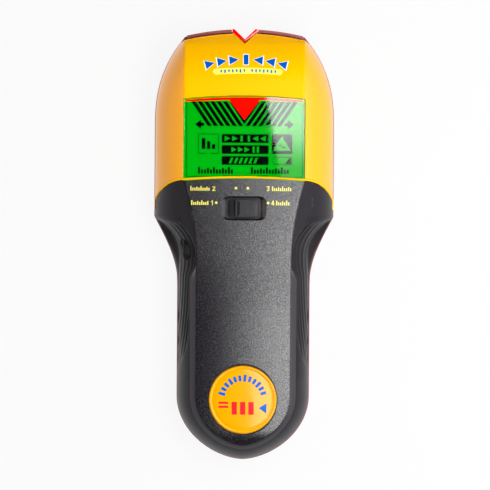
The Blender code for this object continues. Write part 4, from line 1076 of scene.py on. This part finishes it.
def make_mode_knob():
    """Slider with its textured pad, upright rib and the skirt that closes the slot underneath."""
    low, high = box_mm("mode_knob")
    pad_z, pad_half, rib_x = 35.2, 4.0, -3.4
    right = [(x, y) if x > 0.0 else (rib_x, SLOT_Y + math.copysign(pad_half, y - SLOT_Y))
             for x, y in rounded_rectangle(4.9, pad_half, 2.4, (1.3, SLOT_Y), 8)]
    right = list(dict.fromkeys(right))
    left = rounded_rectangle(2.4, pad_half, 1.6, (-4.6, SLOT_Y), 6)
    ramp = [(rib_x + 0.2, SLOT_Y - 3.5), (rib_x + 1.7, SLOT_Y - 2.6), (rib_x + 1.7, SLOT_Y + 2.6),
            (rib_x + 0.2, SLOT_Y + 3.5)]
    crest = (high[2] - 0.25, pad_z + 0.02, pad_z + 0.02, high[2] - 0.25)
    ramp_rings = [[(x, y, pad_z - 0.4) for x, y in ramp],
                  [(x, y, z) for (x, y), z in zip(ramp, crest)]]
    pieces = [prism_mesh("pad_left", left, pad_z - 1.4, pad_z - 0.5, 0.2, 2),
              box_mesh("skirt", (low[0], low[1], pad_z - 1.8), (high[0], high[1], pad_z - 0.6), 0.25),
              box_mesh("stem", (-6.0, SLOT_Y - 2.5, low[2]), (2.0, SLOT_Y + 2.5, pad_z - 1.4), 0.2),
              box_mesh("rib", (rib_x - 0.35, SLOT_Y - 3.6, pad_z - 1.0),
                       (rib_x + 0.35, SLOT_Y + 3.6, high[2]), 0.16, 3),
              loft_mesh("ramp", ramp_rings)]
    steps = [add(f"knob_piece_{index}", mesh) for index, mesh in enumerate(pieces)]
    pad = prism_mesh("pad", right, pad_z - 1.4, pad_z, 0.22, 3)
    knob = carved("slider_knob", pad, steps, [KNOB_FACE], "mode_switch")
    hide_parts("mode_knob")


BADGE_LOW, BADGE_HIGH = box_mm("badge")
BADGE_RIM_Z = BADGE_HIGH[2] - 0.35


def badge_height(x, y):
    """Height of the badge's domed face."""
    share = math.hypot(x, y - BADGE_Y) / (BADGE_RADIUS - BADGE_BEAD)
    return BADGE_RIM_Z + 0.33 - 0.45 * share ** 2


def make_badge():
    """Domed disc with a shallow groove and a rounded bead round it."""
    dome = [(BADGE_RADIUS - BADGE_BEAD) * step / 10 for step in range(11)]
    profile = [(radius, badge_height(radius, BADGE_Y)) for radius in dome]
    bead = ((1.75, -0.24), (1.5, -0.28), (1.3, -0.15), (1.1, 0.05), (0.85, 0.16), (0.6, 0.17),
            (0.35, 0.08), (0.12, -0.12), (0.0, -0.4))
    profile += [(BADGE_RADIUS - inside, BADGE_RIM_Z + rise) for inside, rise in bead]
    profile += [(BADGE_RADIUS, BADGE_LOW[2]), (0.0, BADGE_LOW[2])]
    mesh = turned_mesh("badge_disc", profile, (0.0, BADGE_Y), 160)
    badge = link("badge_disc", mesh, [BADGE_FACE], "root", 35)
    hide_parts("badge")


# ---------------------------------------------------------------- printed marks

def triangle(x, y, width, height, way):
    """Arrowhead centred on (x, y), pointing right for way 1 and left for way -1."""
    return [(x - way * width / 2, y - way * height / 2), (x + way * width / 2, y),
            (x - way * width / 2, y + way * height / 2)]


def moved(outline, x, y, turn=0.0):
    """Outline turned, then moved to (x, y)."""
    cosine, sine = math.cos(turn), math.sin(turn)
    return [(x + u * cosine - v * sine, y + u * sine + v * cosine) for u, v in outline]


def tick_strip(low_x, high_x, low_y, high_y, pitch=0.95, share=0.56):
    """Row of upright ticks in a repeating pattern of heights, like a small scale."""
    marks = []
    pattern = (1.0, 0.62, 0.62, 0.84, 0.62)
    count = int((high_x - low_x) / pitch)
    for index in range(count):
        x = low_x + pitch * index
        top = low_y + (high_y - low_y) * pattern[index % len(pattern)]
        marks.append(bar(x, low_y, x + pitch * share, top))
    return marks


def ribbon(low_x, high_x, count, middle, half_height):
    """Short pieces of a band whose middle line is given by middle(x)."""
    places = [low_x + (high_x - low_x) * index / count for index in range(count + 1)]
    return [[(x, middle(x) - half_height), (next_x, middle(next_x) - half_height),
             (next_x, middle(next_x) + half_height), (x, middle(x) + half_height)]
            for x, next_x in zip(places, places[1:])]


def glyph_height(level):
    return lambda x, y: level


def make_display_marks():
    """Slanting bars, frames, blocks and small scales of the display, with pale signs on the blocks."""
    top_y, low_y = 61.3, 50.8
    slope, pitch, width = 0.68, 2.70, 1.86
    apex_y = 51.5
    dark = []
    for side in (-1.0, 1.0):
        for index in range(1, 7):
            low_x = (apex_y - low_y) * slope - pitch * index
            high_x = low_x - (top_y - low_y) * slope
            stripe = [(low_x, low_y), (low_x + width, low_y), (high_x + width, top_y),
                      (high_x, top_y)]
            dark.append([(-side * x, y) for x, y in stripe])
        inner_y = apex_y + width / slope
        edge = (top_y - apex_y) * slope
        dark.append([(0.0, apex_y), (0.0, inner_y), (side * (edge - width), top_y),
                     (side * edge, top_y)])
        dark.append(triangle(side * 19.9, 51.5, 2.6, 4.0, side))
        dark.append(bar(min(side * 17.2, side * 18.7), 50.8, max(side * 17.2, side * 18.7), 52.2))
    line = 0.30
    dark += [bar(-19.85, 38.86, -19.85 + line, 47.5), bar(-10.98 - line, 38.86, -10.98, 47.5),
             bar(-19.4, 47.5 - line, -11.4, 47.5), bar(-19.4, 38.86, -16.2, 38.86 + line),
             bar(-14.6, 38.86, -11.4, 38.86 + line)]
    for low_x, high_x, high_y in ((-18.3, -16.7, 45.6), (-16.0, -14.6, 44.3), (-13.9, -12.4, 43.0)):
        dark.append(bar(low_x, 40.9, high_x, high_y))
    rows = (45.48, 40.75, 36.02)
    for y in rows:
        dark.append(rounded_rectangle(10.08, 1.88, 0.5, (0.42, y), 4))
    dark.append(rounded_rectangle(4.43, 4.22, 0.4, (16.18, 43.12), 4))
    dark += [bar(12.9, 37.4, 20.3, 37.7), bar(12.9, 34.2, 20.3, 34.5), bar(20.3, 34.5, 20.6, 37.4),
             bar(12.6, 34.5, 12.9, 35.2), bar(12.6, 36.7, 12.9, 37.4), bar(12.0, 35.2, 12.3, 36.7),
             [(17.4, 34.7), (20.1, 34.7), (20.1, 37.2), (19.4, 37.2)]]
    dark += tick_strip(-19.8, -3.4, 30.4, 33.2, 1.28, 0.70)
    dark += tick_strip(2.9, 20.5, 30.4, 33.2, 1.28, 0.70)
    dark += [bar(-9.1, 29.3, -6.2, 29.6), bar(5.6, 29.3, 10.2, 29.6)]
    dark += [bar(-5.4 + 1.5 * index, 29.35, -4.6 + 1.5 * index, 29.6) for index in range(7)]
    dark += [bar(-24.95, 29.0, -24.7, 60.9), bar(24.9, 29.0, 25.15, 60.9),
             bar(-24.7, 28.95, 24.9, 29.15)]
    marks = printed("display_marks", dark, glyph_height(SHEET_Z), SEGMENT, lift=0.04, cell=12.0)

    light = [triangle(-7.2, rows[0], 2.4, 2.3, 1), triangle(-4.0, rows[0], 2.4, 2.3, 1),
             bar(-1.6, rows[0] - 1.25, -0.7, rows[0] + 1.25),
             bar(1.5, rows[0] - 1.25, 2.4, rows[0] + 1.25),
             triangle(4.8, rows[0], 2.4, 2.3, -1), triangle(8.0, rows[0], 2.4, 2.3, -1)]
    light += [triangle(x, rows[1], 2.2, 2.3, 1) for x in (-4.4, -1.6, 1.2)]
    light += [bar(3.6, rows[1] - 1.3, 4.5, rows[1] + 1.3), bar(5.4, rows[1] - 1.3, 6.3, rows[1] + 1.3)]
    light += [[(x, rows[2] - 1.2), (x + 1.0, rows[2] - 1.2), (x + 2.0, rows[2] + 1.2),
               (x + 1.0, rows[2] + 1.2)] for x in (-6.6, -4.5, -2.4, -0.3, 1.8, 3.9)]
    light.append([(12.3, 40.3), (20.0, 40.3), (16.15, 46.7)])
    icons = printed("display_icons", light, glyph_height(SHEET_Z + 0.04), DISPLAY, lift=0.04, cell=12.0)

    def wave_middle(x):
        return 42.2 + 0.6 * math.sin(2.0 * math.pi * (x - 14.6) / 3.1)

    wave = ribbon(14.6, 17.7, 12, wave_middle, 0.28)
    mark = printed("display_wave", wave, glyph_height(SHEET_Z + 0.08), SEGMENT, lift=0.03, cell=12.0)


DIGITS = {
    1: (((0.35, 0.0), (0.35, 1.0)), ((0.08, 0.72), (0.35, 1.0))),
    2: (((0.0, 0.85), (0.3, 1.0)), ((0.3, 1.0), (0.58, 0.78)), ((0.58, 0.78), (0.0, 0.0)),
        ((0.0, 0.0), (0.62, 0.0))),
    3: (((0.0, 1.0), (0.55, 1.0)), ((0.55, 1.0), (0.25, 0.58)), ((0.25, 0.58), (0.55, 0.3)),
        ((0.55, 0.3), (0.3, 0.0)), ((0.3, 0.0), (0.0, 0.12))),
    4: (((0.45, 0.0), (0.45, 1.0)), ((0.45, 1.0), (0.0, 0.3)), ((0.0, 0.3), (0.65, 0.3))),
}


def digit(value, x, y, height, width=0.34):
    """Digit of a dial drawn with straight strokes."""
    shapes = []
    for start, end in DIGITS[value]:
        low = Vector((x + start[0] * height, y + start[1] * height))
        high = Vector((x + end[0] * height, y + end[1] * height))
        along = (high - low).normalized() * width / 2
        side = Vector((-along.y, along.x))
        shapes.append([tuple(low - along - side), tuple(high + along - side),
                       tuple(high + along + side), tuple(low - along + side)])
    return shapes


def make_mode_labels():
    """Small scales with the dial's digits, and the dots round the slot."""
    labels = tick_strip(-23.0, -14.2, 23.0, 25.0, 0.86) + digit(2, -13.4, 23.1, 1.75)
    labels += tick_strip(-22.6, -14.8, 16.9, 18.9, 0.86) + digit(1, -14.1, 17.0, 1.75)
    labels += digit(3, 9.9, 23.1, 1.75) + tick_strip(12.0, 21.3, 23.0, 25.0, 0.86)
    labels += digit(4, 11.8, 17.0, 1.75) + tick_strip(13.8, 20.3, 16.9, 18.9, 0.86)
    labels += [disc(x, y, 0.55) for x, y in ((-11.85, 17.85), (-3.45, 24.15), (1.7, 24.15),
                                             (10.4, 17.85))]
    print_mark = printed("mode_labels", labels, face_height, LABEL, lift=0.035)


def make_brow_marks():
    """Arrowheads closing on a centre bar along a shallow arc, and a pale scale under them."""
    def arc_place(x):
        return 79.4 - 2.3 * (x / 16.5) ** 2, -2.0 * 2.3 * x / 16.5 ** 2

    def scale_middle(x):
        return 74.6 - 0.5 * ((x - 1.2) / 13.6) ** 2

    blue, white = [], []
    for index in range(7):
        x = -14.9 + 5.15 * index
        y, turn = arc_place(x - 0.55)
        way = 1 if index < 3 else -1
        for shapes, grow in ((blue, 0.0), (white, 0.28)):
            if index == 3:
                glyph = rounded_rectangle(1.0 + grow, 2.15 + grow, 0.4, (0.0, 0.0), 4)
            else:
                glyph = triangle(-way * grow * 0.35, 0.0, 4.0 + 2.7 * grow, 3.7 + 3.3 * grow, way)
            shapes.append(moved(glyph, x, y, math.atan(turn)))
    under = printed("brow_outline", white, face_height, WHITE_PRINT, lift=0.03)
    over = printed("brow_arrows", blue, face_height, BLUE, lift=0.055)
    strips = ribbon(-12.3, 14.9, 14, scale_middle, 1.3)
    strips += [disc(-12.3, 74.1, 1.3, 24), disc(14.9, 74.1, 1.3, 24)]
    pill = printed("brow_scale", strips, face_height, PALE_PRINT, lift=0.03)
    ticks = []
    for index in [*range(7), *range(8, 15)]:
        x = -10.4 + 1.66 * index
        y = scale_middle(x) - 0.05
        ticks.append(bar(x, y - (0.7 if index % 2 else 0.45), x + 0.62, y + 0.7))
    scale = printed("brow_ticks", ticks, face_height, BLUE, lift=0.055)


def make_badge_marks():
    """Arc of blue ticks over a red stud-wall sign with a blue pointer."""
    arc = []
    for index in range(12):
        angle = math.radians(164.0 - 146.0 * index / 11)
        turn = angle - math.radians(90.0)
        tall = 1.25 if index % 3 else 1.5
        glyph = rounded_rectangle(0.62, tall, 0.3, (0.0, 0.0), 4)
        arc.append(moved(glyph, 9.3 * math.cos(angle), BADGE_Y + 9.3 * math.sin(angle), turn))
    arc.append(triangle(8.6, BADGE_Y - 3.6, 3.2, 4.4, -1))
    blue = printed("badge_arc", arc, badge_height, BLUE, lift=0.04, cell=1.2)
    low_y, high_y = BADGE_Y - 6.4, BADGE_Y - 0.9
    red = [rounded_rectangle(1.15, (high_y - low_y) / 2, 0.3, (x, (low_y + high_y) / 2), 4)
           for x in (-3.6, 0.0, 3.6)]
    red += [bar(-10.4, high_y - 0.9, -6.2, high_y), bar(-10.4, high_y - 2.6, -6.2, high_y - 1.7)]
    sign = printed("badge_sign", red, badge_height, RED_PRINT, lift=0.04, cell=1.2)


# ---------------------------------------------------------------- stage, light and camera

SKY_STRENGTH = 0.45         # at the horizon; the sky is dark right overhead
SKY_DARK = 0.93             # height of the direction from which on it is dark
FLOOR_TONE = 0.04
FLOOR_GLOW = 0.905
FLOOR_REACH = 3000.0
FLOOR_Z = -0.4
KEY_CARD_Z = 350.0
GLARE_SHARES = (0.09, 0.75)     # of the key light at the foot and the top of its faded edge
GLARE_EDGES = (32.0, 60.0)      # the fade is whole up to the first X and gone by the second
GLARE_TOP = (9.5, 63.7)         # where the key light's mirror image starts on the window
GLARE_FOOT = (16.0, 27.9)
KEY_CARD_BOX = (-210.0, 140.0, 175.0)   # its low Y, high Y and right edge
KEY_STRENGTH = 9.6
WHITE_LIGHT = (1.0, 1.0, 1.0)
# Side cards: X of the lower and upper edge, Y of the ends, Z of the edges, colour and strength
SIDE_CARDS = (
    ("right", (380.0, 330.0), (260.0, -260.0), (40.0, 420.0), WHITE_LIGHT, 2.5),
    ("left", (-380.0, -360.0), (330.0, 60.0), (30.0, 260.0), (1.0, 0.72, 0.60), 2.0),
    ("low_left", (-380.0, -360.0), (60.0, -260.0), (90.0, 300.0), WHITE_LIGHT, 1.3),
)
WINDOW_Z = 37.6
CAMERA_X = 0.58
CAMERA_Y = -0.2
CAMERA_DISTANCE = 3540.0
CAMERA_LENS = 600.0
CAMERA_ROLL = math.radians(0.36)


def glowing(name, colour, strength, fade=None):
    """Light of a card. With fade, it dims near the card's left edge from the first Y to the
    second and below, so that its mirror image in the window fades downwards."""
    material = bpy.data.materials.new(name)
    material.use_nodes = True
    tree = material.node_tree
    tree.nodes.clear()
    light = tree.nodes.new("ShaderNodeEmission")
    light.inputs["Color"].default_value = (*colour, 1.0)
    light.inputs["Strength"].default_value = strength
    output = tree.nodes.new("ShaderNodeOutputMaterial")
    tree.links.new(light.outputs["Emission"], output.inputs["Surface"])
    if fade is not None:
        top, foot = [y * MM for y in fade]
        axes = split_axes(tree, "Object")
        dim = remap(tree, axes["Y"], foot + 3.0 * MM, top - 10.0 * MM, *GLARE_SHARES, True)
        across = remap(tree, axes["X"], *[x * MM for x in GLARE_EDGES], 0.0, 1.0, True)
        below = remap(tree, axes["Y"], foot - 4.0 * MM, foot - 1.0 * MM, 1.0, 0.0)
        full = tree.nodes.new("ShaderNodeMath")
        full.operation = "MAXIMUM"
        tree.links.new(across, full.inputs[0])
        tree.links.new(below, full.inputs[1])
        mix = tree.nodes.new("ShaderNodeMix")
        mix.inputs["B"].default_value = 1.0
        tree.links.new(dim, mix.inputs["A"])
        tree.links.new(full.outputs["Value"], mix.inputs["Factor"])
        power = tree.nodes.new("ShaderNodeMath")
        power.operation = "MULTIPLY"
        power.inputs[1].default_value = strength
        tree.links.new(mix.outputs["Result"], power.inputs[0])
        tree.links.new(power.outputs["Value"], light.inputs["Strength"])
    return material


def make_card(name, corners, material):
    """Four-cornered light card that the camera looks through."""
    form = bmesh.new()
    form.faces.new([form.verts.new(Vector(corner) * MM) for corner in corners])
    card = bpy.data.objects.new(name, to_mesh(name, form))
    card.data.materials.append(material)
    bpy.context.scene.collection.objects.link(card)
    card.visible_camera = False
    card.visible_shadow = False


def make_stage():
    scene = bpy.context.scene
    scene.view_settings.view_transform = "Standard"
    world = bpy.data.worlds.new("studio")
    world.use_nodes = True
    tree = world.node_tree
    sky = tree.nodes["Background"]
    sky.inputs["Color"].default_value = (1.0, 1.0, 1.0, 1.0)
    up = split_axes(tree, "Generated")["Z"]
    tree.links.new(remap(tree, up, 0.0, SKY_DARK, SKY_STRENGTH, 0.0, True), sky.inputs["Strength"])
    scene.world = world

    floor_material = bpy.data.materials.new("pale_floor")
    floor_material.use_nodes = True
    shader = floor_material.node_tree.nodes["Principled BSDF"]
    shader.inputs["Base Color"].default_value = (*[FLOOR_TONE] * 3, 1.0)
    shader.inputs["Roughness"].default_value = 0.9
    shader.inputs["Emission Color"].default_value = (1.0, 1.0, 1.0, 1.0)
    shader.inputs["Emission Strength"].default_value = FLOOR_GLOW
    form = bmesh.new()
    corners = bar(-FLOOR_REACH, -FLOOR_REACH, FLOOR_REACH, FLOOR_REACH)
    form.faces.new([form.verts.new((x * MM, y * MM, FLOOR_Z * MM)) for x, y in corners])
    floor = bpy.data.objects.new("floor", to_mesh("floor", form))
    floor.data.materials.append(floor_material)
    scene.collection.objects.link(floor)

    height = KEY_CARD_Z
    stretch = 1.0 + (height - WINDOW_Z) / (CAMERA_DISTANCE - WINDOW_Z)
    near = [place * stretch for place in GLARE_TOP]
    far = [place * stretch for place in GLARE_FOOT]
    slant = (far[0] - near[0]) / (far[1] - near[1])
    low_y, top_y, right_x = KEY_CARD_BOX
    make_card("key_card", [(near[0] + slant * (top_y - near[1]), top_y, height),
                           (far[0], far[1], height), (far[0] + 5.0, low_y, height),
                           (right_x, low_y, height), (right_x, top_y, height)],
              glowing("key_light", WHITE_LIGHT, KEY_STRENGTH, (near[1], far[1])))
    for name, (low_x, high_x), (far_y, near_y), (low_z, high_z), colour, strength in SIDE_CARDS:
        corners = [(low_x, far_y, low_z), (low_x, near_y, low_z), (high_x, near_y, high_z),
                   (high_x, far_y, high_z)]
        make_card(f"{name}_card", corners, glowing(f"{name}_light", colour, strength))


def make_camera():
    """Long lens looking straight down."""
    lens = bpy.data.cameras.new("camera")
    lens.lens = CAMERA_LENS
    lens.sensor_width = 36.0
    lens.clip_start = 0.1
    lens.clip_end = 20.0
    camera = bpy.data.objects.new("camera", lens)
    camera.location = Vector((CAMERA_X, CAMERA_Y, CAMERA_DISTANCE)) * MM
    camera.rotation_euler = (0.0, 0.0, CAMERA_ROLL)
    bpy.context.scene.collection.objects.link(camera)
    bpy.context.scene.camera = camera


# ---------------------------------------------------------------- the whole piece

dress_nodes()
make_head_cover()
make_grip_housing()
make_rear_housing()
make_battery_door()
make_screws()
make_window_sheet()
make_notch_lens()
make_scan_button()
make_mode_knob()
make_badge()
make_display_marks()
make_mode_labels()
make_brow_marks()
make_badge_marks()
make_stage()
make_camera()
